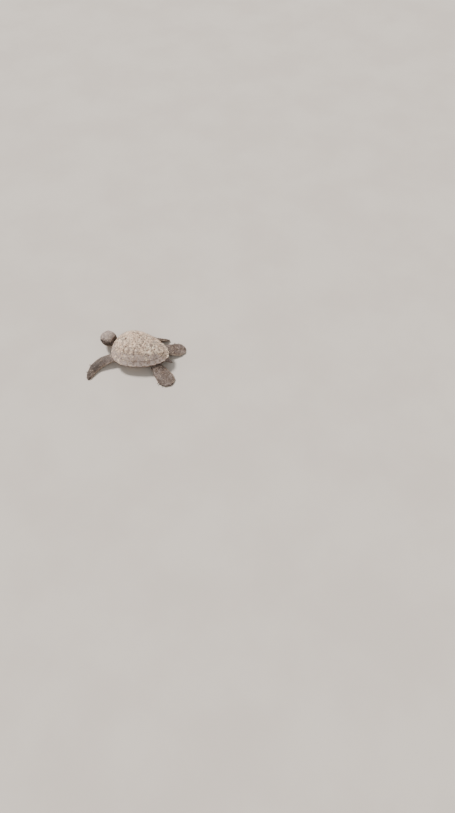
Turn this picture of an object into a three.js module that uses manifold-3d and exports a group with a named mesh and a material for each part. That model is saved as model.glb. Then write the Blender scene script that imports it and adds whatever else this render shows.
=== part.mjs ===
// Loggerhead turtle hatchling, crawling, as a still life-size model.
//
// Frame: millimetres, +Z up. The floor is z = 0, the turtle faces -Y and its left side is +X.
// The origin is the middle of the flat under its belly.

import * as THREE from 'three';
import { mergeVertices } from 'three/addons/utils/BufferGeometryUtils.js';
import Module from 'manifold-3d';

// ---------------------------------------------------------------- driving dimensions

const SHELL_LENGTH = 45;
const SHELL_WIDTH = 35.5;
const DOME_RISE = 11;
const RIM_HEIGHT = 6.2;
const RIM_RISE_FRONT = 1.6;
const RIM_RISE_REAR = 0.8;
const RIM_FLARE = 0.9;
const PLATE = 1.2;
const GAP = 0.3;
const SEAM = 0.3;

const MARGINALS = 12;
const NUCHAL_ANGLE = 15;
const RING_RHO = 0.85;
const TRUNK_RHO = 0.9;

const HEAD = { length: 12, width: 12.3, crown: 5.2, chin: 4.7, x: -2, y: -23.8, z: 8, turn: -6 };
const EYE_RADIUS = 1.9;

const COLOURS = {
  scute: 0x6b5647,
  marginal: 0x75604f,
  plastron: 0x8a7766,
  skin: 0x5c4f46,
  head: 0x54463d,
  beak: 0x40342c,
  eye: 0x120f0d,
  claw: 0x3a2f28,
};

const degrees = Math.PI / 180;
const halfLength = SHELL_LENGTH / 2;
const { lerp, clamp } = THREE.MathUtils;

// ---------------------------------------------------------------- the shell's form

// Along the shell, e runs from -1 at the neck to +1 at the tail. Across it, rho runs from 0 at the
// crown to 1 at the rim, and the angle from 0 at the neck, by 90 at the left, to 180 at the tail.

const EGG_SHIFT = 0.1;
const TAPER = 0.22;
const FULLNESS = 0.03;
const DOME_POWER = 2.5;
const FLARE_START = 0.87;

function breadthAt(e) {
  return (SHELL_WIDTH / 2) * (1 - TAPER * e + FULLNESS * (4 * e * e - 1));
}

function shellPoint(rho, angle) {
  const shifted = -rho * Math.cos(angle * degrees);
  const root = Math.sqrt(1 - 4 * EGG_SHIFT * (shifted - EGG_SHIFT));
  const e = (1 - root) / (2 * EGG_SHIFT);
  return { x: breadthAt(e) * rho * Math.sin(angle * degrees), y: halfLength * e };
}

function rhoAt(x, y) {
  const e = clamp(y / halfLength, -1.3, 1.3);
  return Math.hypot(x / breadthAt(e), e + EGG_SHIFT * (1 - e * e));
}

function rimHeight(y) {
  const e = clamp(y / halfLength, -1.1, 1.1);
  return RIM_HEIGHT + RIM_RISE_FRONT * Math.max(0, -e) ** 2 + RIM_RISE_REAR * Math.max(0, e) ** 2;
}

function domeHeight(x, y) {
  const rho = Math.min(rhoAt(x, y), 1);
  const flare = RIM_FLARE * (Math.max(0, rho - FLARE_START) / (1 - FLARE_START)) ** 2;
  return rimHeight(y) + DOME_RISE * (1 - rho ** DOME_POWER) + flare;
}

// The underside of the carapace: the plate's thickness square to its slope, and under the
// marginals a straight line out to the thin edge of the rim.
const RIM_EDGE = 0.9;

function underDome(rho) {
  const slope = (DOME_RISE * DOME_POWER * rho ** (DOME_POWER - 1)) / (SHELL_WIDTH / 2);
  return DOME_RISE * (1 - rho ** DOME_POWER) - PLATE * Math.hypot(1, slope);
}

function underHeight(x, y) {
  const rho = Math.min(rhoAt(x, y), 1);
  if (rho < RING_RHO) {
    return rimHeight(y) + underDome(rho);
  }
  return rimHeight(y) + lerp(underDome(RING_RHO), -RIM_EDGE, (rho - RING_RHO) / (1 - RING_RHO));
}

// The outside of the belly: flat in the middle, and rising to just under the rim.
const BELLY = { flat: 0.36, rim: 0.97, power: 1.6, reach: 0.8, drop: 0.9, plate: 1 };

function bellyHeight(x, y) {
  const e = clamp(y / halfLength, -1.3, 1.3);
  const across = Math.hypot(x / breadthAt(e), BELLY.reach * (e + EGG_SHIFT * (1 - e * e)));
  const rise = Math.max(0, across - BELLY.flat) / (BELLY.rim - BELLY.flat);
  return (rimHeight(y) - BELLY.drop) * rise ** BELLY.power;
}

// ---------------------------------------------------------------- closed solids

function closedGeometry(vertices, indices) {
  const geometry = new THREE.BufferGeometry();
  geometry.setAttribute('position', new THREE.Float32BufferAttribute(vertices.flat(), 3));
  geometry.setIndex(signedVolume(vertices, indices) < 0 ? indices.reverse() : indices);
  return geometry;
}

function signedVolume(vertices, indices) {
  let sum = 0;
  for (let i = 0; i < indices.length; i += 3) {
    const [a, b, c] = [0, 1, 2].map((k) => new THREE.Vector3(...vertices[indices[i + k]]));
    sum += a.dot(b.cross(c));
  }
  return sum / 6;
}

// A closed skin through rings of equal count, with a fan at each end.
function loft(rings) {
  const count = rings[0].length;
  const vertices = rings.flat();
  const indices = [];
  for (let r = 0; r + 1 < rings.length; r += 1) {
    for (let i = 0; i < count; i += 1) {
      const j = (i + 1) % count;
      const a = r * count;
      const b = a + count;
      indices.push(a + i, a + j, b + i, a + j, b + j, b + i);
    }
  }
  for (const [ring, first] of [[rings[0], 0], [rings.at(-1), (rings.length - 1) * count]]) {
    const middle = [0, 1, 2].map((k) => ring.reduce((sum, p) => sum + p[k], 0) / count);
    const centre = vertices.push(middle) - 1;
    for (let i = 0; i < count; i += 1) {
      const edge = [first + i, first + ((i + 1) % count)];
      indices.push(centre, ...(first === 0 ? edge.reverse() : edge));
    }
  }
  return closedGeometry(vertices, indices);
}

// A plate over a grid in plan, from its under surface to its top.
function plate(columns, rows, planPoint, topAt, underAt) {
  const vertices = [];
  for (const heightAt of [topAt, underAt]) {
    for (let r = 0; r <= rows; r += 1) {
      for (let c = 0; c <= columns; c += 1) {
        const { x, y } = planPoint(c / columns, r / rows);
        vertices.push([x, y, heightAt(x, y, c / columns, r / rows)]);
      }
    }
  }
  const wide = columns + 1;
  const layer = wide * (rows + 1);
  const indices = [];
  for (let r = 0; r < rows; r += 1) {
    for (let c = 0; c < columns; c += 1) {
      const a = r * wide + c;
      indices.push(a, a + 1, a + wide, a + 1, a + wide + 1, a + wide);
      indices.push(layer + a, layer + a + wide, layer + a + 1);
      indices.push(layer + a + 1, layer + a + wide, layer + a + wide + 1);
    }
  }
  const edge = [];
  for (let c = 0; c < columns; c += 1) edge.push(c);
  for (let r = 0; r < rows; r += 1) edge.push(r * wide + columns);
  for (let c = columns; c > 0; c -= 1) edge.push(rows * wide + c);
  for (let r = rows; r > 0; r -= 1) edge.push(r * wide);
  edge.forEach((a, i) => {
    const b = edge[(i + 1) % edge.length];
    indices.push(a, layer + a, b, b, layer + a, layer + b);
  });
  return closedGeometry(vertices, indices);
}

const wasm = await Module();
wasm.setup();

function toSolid(geometry) {
  const bare = geometry.clone();
  bare.deleteAttribute('normal');
  bare.deleteAttribute('uv');
  const merged = mergeVertices(bare, 1e-4);
  return new wasm.Manifold(new wasm.Mesh({
    numProp: 3,
    vertProperties: new Float32Array(merged.attributes.position.array),
    triVerts: new Uint32Array(merged.index.array),
  }));
}

function toGeometry(solid) {
  const mesh = solid.getMesh();
  const geometry = new THREE.BufferGeometry();
  geometry.setAttribute('position', new THREE.BufferAttribute(mesh.vertProperties, 3));
  geometry.setIndex(new THREE.BufferAttribute(mesh.triVerts, 1));
  return geometry;
}

function largestPiece(solid) {
  return solid.decompose().reduce((best, one) => (one.volume() > best.volume() ? one : best));
}

// A block far larger than the part it cuts: everything on one side of a plane.
const FAR = 60;

function halfSpace(point, normal) {
  const block = new THREE.BoxGeometry(2 * FAR, 2 * FAR, 2 * FAR);
  const turn = new THREE.Quaternion().setFromUnitVectors(
    new THREE.Vector3(0, 0, 1), new THREE.Vector3(...normal).normalize());
  const centre = new THREE.Vector3(0, 0, FAR).applyQuaternion(turn).add(new THREE.Vector3(...point));
  return toSolid(block.applyQuaternion(turn).translate(centre.x, centre.y, centre.z));
}

// ---------------------------------------------------------------- the object

const turtle = new THREE.Group();
turtle.name = 'loggerhead_turtle';

function addPart(name, geometry, colour, roughness = 0.8) {
  const material = new THREE.MeshStandardMaterial({ color: colour, roughness, metalness: 0 });
  const mesh = new THREE.Mesh(geometry, material);
  mesh.name = name;
  turtle.add(mesh);
}

const SIDES = [['left', 1], ['right', -1]];

// ---------------------------------------------------------------- carapace scutes

// Of the first four vertebral scutes: where each ends, its half width there, and at its side point.
const VERTEBRAL_ENDS = [-12.2, -5.2, 2.2, 9.4];
const VERTEBRAL_HALF = [4.4, 4.6, 4.3, 3.3];
const VERTEBRAL_SIDE = [6.6, 7.2, 6.9, 5.8];
const SCUTE_GRID = [6, 4];
const V1_FRONT_ANGLE = 11;
const V5_REAR_ANGLE = 160;
const COSTAL_SEAM_ANGLES = [18, 39, 66, 97, 129, 160];

const KEEL = { height: 0.8, width: 1.3, start: 0.35 };
const SCUTE_SWELL = 0.25;

// A keel runs down the middle of the scute and stands highest at its rear edge.
function keel(offset, along) {
  return KEEL.height * lerp(KEEL.start, 1, along) * Math.exp(-((offset / KEEL.width) ** 2));
}

function swell(across, along) {
  return SCUTE_SWELL * 16 * across * (1 - across) * along * (1 - along);
}

function inset(t, span) {
  const margin = SEAM / 2 / span;
  return lerp(margin, 1 - margin, t);
}

function vertebralSizes() {
  const front = shellPoint(RING_RHO, V1_FRONT_ANGLE);
  const rear = shellPoint(RING_RHO, V5_REAR_ANGLE);
  return {
    halves: [front.x, ...VERTEBRAL_HALF, rear.x],
    sides: [...VERTEBRAL_SIDE, (VERTEBRAL_HALF[3] + rear.x) / 2],
    ends: [front.y, ...VERTEBRAL_ENDS, rear.y],
  };
}

function vertebralScute(number) {
  const { halves, sides, ends } = vertebralSizes();
  const [before, after] = [halves[number - 1], halves[number]];
  const widest = sides[number - 1];
  const startY = (t) => (number === 1 ? ringY(t * before, -1) : ends[number - 1]);
  const endY = (t) => (number === 5 ? ringY(t * after, 1) : ends[number]);
  const planPoint = (c, r) => {
    const v = inset(r, ends[number] - ends[number - 1]);
    const half = v < 0.5 ? lerp(before, widest, v * 2) : lerp(widest, after, v * 2 - 1);
    const across = 2 * c - 1;
    const y = lerp(startY(across), endY(across), v);
    return { x: across * (half - SEAM / 2), y };
  };
  const top = (x, y, c, r) => domeHeight(x, y) + keel(x, r) + swell(c, r);
  return plate(...SCUTE_GRID, planPoint, top, underHeight);
}

// Where the ring of marginals begins, at a given distance from the midline: the front or rear end
// is walked round the ring until it is that far out.
function ringY(x, end) {
  const stride = 2.6;
  let angle = end < 0 ? 0 : 180;
  for (let step = 0; step < 8; step += 1) {
    angle += end * stride * (shellPoint(RING_RHO, angle).x - Math.abs(x));
  }
  return shellPoint(RING_RHO, angle).y;
}

// The line that the vertebrals share with the costals: a point at each corner of the zigzag.
function zigzag() {
  const { halves, sides, ends } = vertebralSizes();
  const corners = [];
  for (let i = 0; i < 5; i += 1) {
    corners.push({ x: halves[i], y: ends[i] });
    corners.push({ x: sides[i], y: (ends[i] + ends[i + 1]) / 2 });
  }
  return corners;
}

// The first costal meets one vertebral, and each of the others meets two.
function costalInner(number) {
  const corners = zigzag();
  return number === 1 ? [corners[0], corners[1]] : corners.slice(2 * number - 3, 2 * number);
}

function alongLine(points, t) {
  const scaled = t * (points.length - 1);
  const i = Math.min(Math.floor(scaled), points.length - 2);
  return {
    x: lerp(points[i].x, points[i + 1].x, scaled - i),
    y: lerp(points[i].y, points[i + 1].y, scaled - i),
  };
}

// The costal keel: how far out it runs, the scute's usual width, and its share of the middle keel.
const COSTAL_KEEL = { place: 0.34, width: 9, share: 0.7 };
const SKEW = 0.78;

function costalScute(number, side) {
  const inner = costalInner(number);
  const [from, to] = [COSTAL_SEAM_ANGLES[number - 1], COSTAL_SEAM_ANGLES[number]];
  const between = (s, t) => {
    const a = alongLine(inner, s);
    const b = shellPoint(RING_RHO, lerp(from, to, s));
    return { x: lerp(a.x, b.x, t), y: lerp(a.y, b.y, t) };
  };
  const distance = (p, q) => Math.hypot(p.x - q.x, p.y - q.y);
  const planPoint = (c, r) => {
    const s = inset(c, distance(between(0, r), between(1, r)) * SKEW);
    const t = inset(r, distance(between(c, 0), between(c, 1)) * SKEW);
    const { x, y } = between(s, t);
    return { x: side * x, y };
  };
  const top = (x, y, c, r) => {
    const offset = (r - COSTAL_KEEL.place) * COSTAL_KEEL.width;
    return domeHeight(x, y) + COSTAL_KEEL.share * keel(offset, c) + swell(c, r);
  };
  return plate(...SCUTE_GRID, planPoint, top, underHeight);
}

// One section of the rim at an angle: a wedge from the ring of costals out to the thin edge.
const SERRATION = 0.022;
const GROOVE = 0.25;
const RIM = { inner: RING_RHO + 0.012, middle: 0.93, round: 0.012, seamAngle: 0.6 };

function rimSection(angle, phase, side) {
  const reach = 1 - SERRATION * (1 - phase) ** 1.5;
  const sunk = phase === 0 || phase === 1 ? GROOVE : 0;
  const stops = [
    [RIM.inner, 'top'], [RIM.middle, 'top'], [reach - RIM.round, 'top'],
    [reach, 'edge'], [reach - RIM.round, 'under'], [RIM.inner, 'under'],
  ];
  return stops.map(([rho, place]) => {
    const { x, y } = shellPoint(rho, angle);
    const top = domeHeight(x, y) - sunk;
    const under = underHeight(x, y);
    const z = { top, under, edge: (top + under) / 2 }[place];
    return [side * x, y, z];
  });
}

// One side's marginals in one piece, with a groove at each seam and a step at each outer corner.
function marginalScutes(side) {
  const rings = [];
  const from = NUCHAL_ANGLE + RIM.seamAngle;
  const to = 180 - RIM.seamAngle;
  for (let m = 0; m < MARGINALS; m += 1) {
    for (const phase of [0, 0.12, 0.86]) {
      rings.push(rimSection(lerp(from, to, (m + phase) / MARGINALS), phase, side));
    }
  }
  rings.push(rimSection(to, 1, side));
  return loft(rings);
}

function nuchalScute() {
  const rings = [];
  const half = 4;
  for (let step = -half; step <= half; step += 1) {
    rings.push(rimSection((step / half) * (NUCHAL_ANGLE - RIM.seamAngle), 0.8, 1));
  }
  return loft(rings);
}

// ---------------------------------------------------------------- plastron and bridges

const PLASTRON_REACH = { ends: 0.86, sides: 0.62 };
const PLASTRON_LEVELS = [0.42, 0.62, 0.8, 0.92, 1];
const BRIDGE = { from: 58, to: 122, outer: 0.93 };
const BRIDGE_GRID = [10, 4];

function plastronRho(angle) {
  const side = Math.sin(angle * degrees) ** 2;
  return lerp(PLASTRON_REACH.ends, PLASTRON_REACH.sides, side);
}

const SHEET_STEPS = 32;

// A round sheet in plan, from under to top, as rings from one middle round the edge to the other.
function roundSheet(reachAt, levels, underAt, topAt) {
  const ringAt = (share, heightAt) => {
    const ring = [];
    for (let i = 0; i < SHEET_STEPS; i += 1) {
      const angle = (360 * i) / SHEET_STEPS;
      const { x, y } = shellPoint(share * reachAt(angle), angle);
      ring.push([x, y, heightAt(x, y)]);
    }
    return ring;
  };
  const under = levels.map((share) => ringAt(share, underAt));
  const top = levels.map((share) => ringAt(share, topAt)).reverse();
  return loft([...under, ...top]);
}

function plastronPlate() {
  const top = (x, y) => bellyHeight(x, y) + BELLY.plate;
  return roundSheet(plastronRho, PLASTRON_LEVELS, bellyHeight, top);
}

function bridgePlate(side) {
  const planPoint = (c, r) => {
    const angle = lerp(BRIDGE.from, BRIDGE.to, c);
    const inner = plastronRho(angle) + SEAM / (SHELL_WIDTH / 2);
    const { x, y } = shellPoint(lerp(inner, BRIDGE.outer, r), angle);
    return { x: side * x, y };
  };
  return plate(...BRIDGE_GRID, planPoint, (x, y) => bellyHeight(x, y) + BELLY.plate, bellyHeight);
}

// ---------------------------------------------------------------- trunk

const TRUNK_LEVELS = [0.3, 0.55, 0.75, 0.9, 1];

// The flesh between the plates. A grown copy is what the limbs are cut with.
function trunkBody(grow) {
  const reach = TRUNK_RHO + grow / (SHELL_WIDTH / 2);
  const under = (x, y) => bellyHeight(x, y) + BELLY.plate + GAP - grow;
  const top = (x, y) => underHeight(x, y) - GAP + grow;
  return roundSheet(() => reach, TRUNK_LEVELS, under, top);
}

const SHELL_CUT_REACH = 1.03;
const CUT_LEVELS = [0.3, 0.55, 0.75, 0.826, 0.9, 0.96, 1];
const CUT_DEPTH = 4;

function shellCutter() {
  const under = (x, y) => underHeight(x, y) - GAP;
  return roundSheet(() => SHELL_CUT_REACH, CUT_LEVELS, under, (x, y) => domeHeight(x, y) + CUT_DEPTH);
}

function bellyCutter() {
  const reach = (angle) => plastronRho(angle) + GAP / (SHELL_WIDTH / 2);
  const top = (x, y) => bellyHeight(x, y) + BELLY.plate + GAP;
  return roundSheet(reach, CUT_LEVELS, (x, y) => bellyHeight(x, y) - CUT_DEPTH, top);
}

function bridgeCutter(side) {
  const margin = { angle: 1.5, inner: 0.05, outer: 0.02 };
  const planPoint = (c, r) => {
    const angle = lerp(BRIDGE.from - margin.angle, BRIDGE.to + margin.angle, c);
    const inner = PLASTRON_REACH.sides - margin.inner;
    const { x, y } = shellPoint(lerp(inner, BRIDGE.outer + margin.outer, r), angle);
    return { x: side * x, y };
  };
  const top = (x, y) => bellyHeight(x, y) + BELLY.plate + GAP;
  return plate(...BRIDGE_GRID, planPoint, top, (x, y) => bellyHeight(x, y) - CUT_DEPTH);
}

const shellRoom = toSolid(trunkBody(GAP))
  .add(toSolid(shellCutter()))
  .add(toSolid(bellyCutter()))
  .add(toSolid(bridgeCutter(1)))
  .add(toSolid(bridgeCutter(-1)));

function outsideShell(geometry) {
  return largestPiece(toSolid(geometry).subtract(shellRoom));
}

// ---------------------------------------------------------------- limbs

const LIMB_POINTS = 12;
const LEADING_EDGE_SWELL = 0.35;

// Each station of a limb holds x, how far forward it is, its height, its chord, its thickness and
// how far its leading edge is rolled down, in degrees.
function stationSize(stations, place) {
  const i = Math.min(Math.floor(place), stations.length - 2);
  const t = place - i;
  const eased = t * t * (3 - 2 * t);
  const [chord, thick, roll] = [3, 4, 5].map((k) => lerp(stations[i][k], stations[i + 1][k], eased));
  return { chord, thick, roll: roll * degrees };
}

// The middle of a limb at one place between its stations, with the directions of its section.
function limbFrame(stations, lead, t) {
  const path = new THREE.CatmullRomCurve3(
    stations.map(([x, forward, z]) => new THREE.Vector3(x, -forward, z)), false, 'centripetal');
  const { chord, thick, roll } = stationSize(stations, t * (stations.length - 1));
  const tangent = path.getTangent(t);
  const level = new THREE.Vector3(-tangent.y, tangent.x, 0).normalize().multiplyScalar(lead);
  const up = new THREE.Vector3(0, 0, 1);
  const toEdge = level.clone().multiplyScalar(Math.cos(roll)).addScaledVector(up, -Math.sin(roll));
  const toBack = up.clone().multiplyScalar(Math.cos(roll)).addScaledVector(level, Math.sin(roll));
  return { centre: path.getPoint(t), tangent, toEdge, toBack, chord, thick };
}

// A flipper: a flat blade with a round leading edge, pressed flat where it meets the floor.
function blade(stations, lead, steps) {
  const rings = [];
  for (let step = 0; step <= steps; step += 1) {
    const { centre, toEdge, toBack, chord, thick } = limbFrame(stations, lead, step / steps);
    const ring = [];
    for (let i = 0; i < LIMB_POINTS; i += 1) {
      const around = (2 * Math.PI * i) / LIMB_POINTS;
      const along = Math.cos(around);
      const up = Math.sin(around) * (1 + LEADING_EDGE_SWELL * along);
      const point = centre.clone()
        .addScaledVector(toEdge, (along * chord) / 2)
        .addScaledVector(toBack, (up * thick) / 2);
      ring.push([point.x, point.y, Math.max(0, point.z)]);
    }
    rings.push(ring);
  }
  return loft(rings);
}

const FRONT_LEFT = [
  [8, 13, 4.6, 6.4, 4.2, 0],
  [12, 18.9, 4.4, 8, 3.9, 0],
  [16.5, 25, 3.1, 9.4, 3, 0],
  [22.4, 28.8, 1.7, 8.6, 2.5, 0],
  [28.6, 29.7, 0.95, 6.6, 2, 0],
  [32.8, 29.6, 0.7, 4.2, 1.5, 0],
  [34.7, 29.5, 0.6, 1.4, 1, 0],
];
const FRONT_RIGHT = [
  [-8, 12.5, 4.6, 6.4, 4.2, 0],
  [-13.4, 13.4, 4.4, 8, 3.9, 10],
  [-17.2, 9.2, 3.8, 9.2, 3, 30],
  [-18, 2.4, 3, 8.6, 2.5, 42],
  [-18.3, -5, 2.4, 7.4, 2, 42],
  [-20.2, -11.4, 1.6, 5.4, 1.5, 34],
  [-21.6, -14.6, 0.9, 1.8, 1, 24],
];
const HIND_LEFT = [
  [6.4, -11, 4.4, 6.4, 4, 0],
  [9.4, -16.6, 4, 9, 3.6, 0],
  [12.7, -21.4, 2.4, 12.2, 2.8, 0],
  [15.5, -26, 1.15, 13.6, 2.1, 0],
  [17.8, -30.1, 0.8, 10.8, 1.6, 0],
  [19, -32.4, 0.6, 4, 1, 0],
];
const HIND_RIGHT = [
  [-6.2, -11, 4.4, 6.4, 4, 0],
  [-8.8, -16.4, 4, 9, 3.6, 0],
  [-11.6, -20.6, 2.4, 12, 2.8, 0],
  [-14.4, -24.2, 1.15, 13.2, 2.1, 0],
  [-17, -27.4, 0.8, 10.4, 1.6, 0],
  [-18.4, -29, 0.6, 3.8, 1, 0],
];
const TAIL = [
  [0, -17, 4.7, 5.6, 3.6, 0],
  [0, -20.6, 4.2, 4.4, 3.2, 0],
  [0.2, -23.4, 3.3, 2.6, 2.2, 0],
  [0.4, -25.6, 2.6, 0.8, 0.8, 0],
];

// Each flipper's stations, the side of the path that its leading edge is on, its steps, and where
// its two claws stand along it with their lengths.
const FLIPPERS = {
  front_left: { stations: FRONT_LEFT, lead: -1, steps: 18, claws: [[3.1, 1.3], [4, 0.8]] },
  front_right: { stations: FRONT_RIGHT, lead: 1, steps: 18, claws: [[3.1, 1.3], [4, 0.8]] },
  hind_left: { stations: HIND_LEFT, lead: -1, steps: 14, claws: [[2.9, 1.1], [3.6, 0.8]] },
  hind_right: { stations: HIND_RIGHT, lead: 1, steps: 14, claws: [[2.9, 1.1], [3.6, 0.8]] },
};

// ---------------------------------------------------------------- head

const HEAD_POINTS = 24;
const HEAD_RINGS = 13;
const HEAD_CROWDING = 1.35;
const SQUARENESS = 2.35;

function rounded(share, power, root) {
  return (1 - (1 - Math.min(share, 1)) ** power) ** root;
}

// The head's section at a share s of its length behind the snout: it swells to its fullest and
// draws in again at the nape, and the snout's tip hangs down into the beak.
const SNOUT_START = 0.012;
const SNOUT_DROP = 1.1;
const NAPE_START = 0.64;

function headSection(s) {
  const nape = (Math.max(0, s - NAPE_START) / (1 - NAPE_START)) ** 2;
  return {
    side: (HEAD.width / 2) * rounded(s / 0.68, 2, 0.68) * (1 - 0.28 * nape),
    up: HEAD.crown * rounded(s / 0.55, 2.4, 0.7) * (1 - 0.4 * nape),
    down: HEAD.chin * rounded(s / 0.7, 2, 0.62) * (1 - 0.12 * nape),
    drop: -SNOUT_DROP * (1 - rounded(s / 0.35, 2, 1)),
  };
}

function squircle(angle) {
  const power = 2 / SQUARENESS;
  const bend = (value) => Math.sign(value) * Math.abs(value) ** power;
  return [bend(Math.cos(angle)), bend(Math.sin(angle))];
}

// The head's own frame: the snout at y = -length, the nape at y = 0, and z = 0 at its widest level.
function headLoft() {
  const rings = [];
  for (let r = 0; r <= HEAD_RINGS; r += 1) {
    const s = lerp(SNOUT_START, 1, (r / HEAD_RINGS) ** HEAD_CROWDING);
    const size = headSection(s);
    const ring = [];
    for (let i = 0; i < HEAD_POINTS; i += 1) {
      const [across, up] = squircle((2 * Math.PI * i) / HEAD_POINTS);
      const z = size.drop + up * (up > 0 ? size.up : size.down);
      ring.push([across * size.side, (s - 1) * HEAD.length, z]);
    }
    rings.push(ring);
  }
  return loft(rings);
}

const EYE = { s: 0.4, z: 1.5, inset: 1.75 };
const MOUTH = { z: -1.9, back: 0.6, tilt: 0.1 };
const BEAK_LINE = { z: 0.9, tilt: 0.27 };
const LOWER_BEAK_LINE = { z: -3.3, tilt: 0.25 };

function placeHead(geometry) {
  const turn = HEAD.turn * degrees;
  return geometry.rotateZ(turn).translate(HEAD.x, HEAD.y, HEAD.z);
}

function eyeBall(side, radius) {
  const x = side * (headSection(EYE.s).side - EYE.inset);
  return new THREE.SphereGeometry(radius, 12, 8).translate(x, (EYE.s - 1) * HEAD.length, EYE.z);
}

// A sloping plane through the snout's tip at height z, falling or rising towards the nape.
function snoutPlane(z, tilt, shift, side) {
  const point = [0, -HEAD.length, z + shift];
  return halfSpace(point, [0, -side * tilt, side]);
}

function headParts() {
  let whole = toSolid(headLoft());
  for (const [, side] of SIDES) {
    whole = whole.subtract(toSolid(eyeBall(side, EYE_RADIUS + GAP)));
  }
  const backY = (MOUTH.back - 1) * HEAD.length;
  const ahead = halfSpace([0, backY, 0], [0, -1, 0]);
  const aheadWide = halfSpace([0, backY + GAP, 0], [0, -1, 0]);
  const jawRoom = snoutPlane(MOUTH.z, MOUTH.tilt, 0, -1);
  const jaw = whole.intersect(ahead).intersect(snoutPlane(MOUTH.z, MOUTH.tilt, -GAP, -1));
  const upper = whole.subtract(aheadWide.intersect(jawRoom));
  const beakRoom = ahead.intersect(snoutPlane(BEAK_LINE.z, -BEAK_LINE.tilt, 0, -1));
  const beakFit = ahead.intersect(snoutPlane(BEAK_LINE.z, -BEAK_LINE.tilt, -GAP, -1));
  const lowerRoom = snoutPlane(LOWER_BEAK_LINE.z, LOWER_BEAK_LINE.tilt, 0, 1);
  const lowerFit = snoutPlane(LOWER_BEAK_LINE.z, LOWER_BEAK_LINE.tilt, GAP, 1);
  return {
    head: largestPiece(upper.subtract(beakRoom)),
    beak_upper: largestPiece(upper.intersect(beakFit)),
    lower_jaw: largestPiece(jaw.subtract(lowerRoom)),
    beak_lower: largestPiece(jaw.intersect(lowerFit)),
  };
}

const NECK = [
  [0, 16.5, 5, 9.5, 3.6, 0],
  [-0.8, 19.6, 5.3, 9.4, 4.2, 0],
  [-1.6, 22.2, 6, 8.8, 5.8, 0],
  [-2, 23.7, 6.9, 8.6, 6.9, 0],
];

function neckPiece() {
  const turn = HEAD.turn * degrees;
  const nape = halfSpace([HEAD.x, HEAD.y + GAP, HEAD.z], [Math.sin(turn), -Math.cos(turn), 0]);
  return largestPiece(outsideShell(blade(NECK, 1, 8)).subtract(nape));
}

// ---------------------------------------------------------------- claws

const CLAW_LIFT = 0.45;
const CLAW_CURVE = 0.55;
const CLAW_POINTS = 6;
const CLAW_TAPER = [[0, 0.42], [0.35, 0.38], [0.7, 0.24], [1, 0.06]];

// A claw stands on the leading edge and curves towards the tip.
function claw(stations, lead, place, length) {
  const { centre, tangent, toEdge, chord } = limbFrame(stations, lead, place / (stations.length - 1));
  const root = centre.addScaledVector(toEdge, chord / 2 + GAP);
  const rings = [];
  for (const [share, radius] of CLAW_TAPER) {
    const middle = root.clone().addScaledVector(toEdge, share * length);
    middle.addScaledVector(tangent, share * share * length * CLAW_CURVE);
    const ring = [];
    for (let i = 0; i < CLAW_POINTS; i += 1) {
      const around = (2 * Math.PI * i) / CLAW_POINTS;
      const point = middle.clone().addScaledVector(tangent, radius * Math.cos(around));
      ring.push([point.x, point.y, Math.max(CLAW_LIFT, point.z) + radius * Math.sin(around)]);
    }
    rings.push(ring);
  }
  return loft(rings);
}

// ---------------------------------------------------------------- assembly

addPart('nuchal_scute', nuchalScute(), COLOURS.marginal);
for (let number = 1; number <= 5; number += 1) {
  addPart(`vertebral_scute_${number}`, vertebralScute(number), COLOURS.scute);
}
for (const [name, side] of SIDES) {
  for (let number = 1; number <= 5; number += 1) {
    addPart(`costal_scute_${name}_${number}`, costalScute(number, side), COLOURS.scute);
  }
  addPart(`marginal_scutes_${name}`, marginalScutes(side), COLOURS.marginal);
  addPart(`bridge_${name}`, bridgePlate(side), COLOURS.plastron);
  addPart(`eye_${name}`, placeHead(eyeBall(side, EYE_RADIUS)), COLOURS.eye, 0.1);
}
addPart('plastron', plastronPlate(), COLOURS.plastron);
addPart('trunk', trunkBody(0), COLOURS.skin);
addPart('neck', toGeometry(neckPiece()), COLOURS.skin);
addPart('tail', toGeometry(outsideShell(blade(TAIL, 1, 9))), COLOURS.skin);
for (const [name, { stations, lead, steps, claws }] of Object.entries(FLIPPERS)) {
  const [pair, side] = name.split('_');
  addPart(`${pair}_flipper_${side}`, toGeometry(outsideShell(blade(stations, lead, steps))), COLOURS.skin);
  claws.forEach(([place, length], i) => {
    addPart(`claw_${name}_${i + 1}`, claw(stations, lead, place, length), COLOURS.claw, 0.5);
  });
}
for (const [name, solid] of Object.entries(headParts())) {
  addPart(name, placeHead(toGeometry(solid)), name.startsWith('beak') ? COLOURS.beak : COLOURS.head);
}
export default turtle;
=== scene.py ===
"""Loggerhead turtle hatchling, crawling: its looks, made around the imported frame.

Forms are worked out in millimetres and made in metres. The floor is z = 0, the turtle faces -Y and its
left side is +X, as in the frame. Angles round the shell run from 0 at the neck, by 90 at the left, to
180 at the tail.
"""

import math

import bmesh
import bpy
import numpy as np
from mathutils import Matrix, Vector
from mathutils.kdtree import KDTree


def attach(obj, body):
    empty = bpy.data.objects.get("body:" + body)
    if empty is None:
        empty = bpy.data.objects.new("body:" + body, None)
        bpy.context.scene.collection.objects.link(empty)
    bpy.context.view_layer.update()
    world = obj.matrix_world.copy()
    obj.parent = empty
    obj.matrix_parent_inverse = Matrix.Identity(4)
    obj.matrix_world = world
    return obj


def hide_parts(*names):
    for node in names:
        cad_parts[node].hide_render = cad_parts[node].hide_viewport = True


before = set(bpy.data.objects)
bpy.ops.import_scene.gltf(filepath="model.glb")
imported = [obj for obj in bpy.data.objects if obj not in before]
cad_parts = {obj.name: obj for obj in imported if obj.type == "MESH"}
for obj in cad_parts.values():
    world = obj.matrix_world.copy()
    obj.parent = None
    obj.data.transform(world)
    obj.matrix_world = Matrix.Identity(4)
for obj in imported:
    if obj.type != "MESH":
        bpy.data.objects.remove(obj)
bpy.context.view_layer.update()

MM = 0.001
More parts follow.
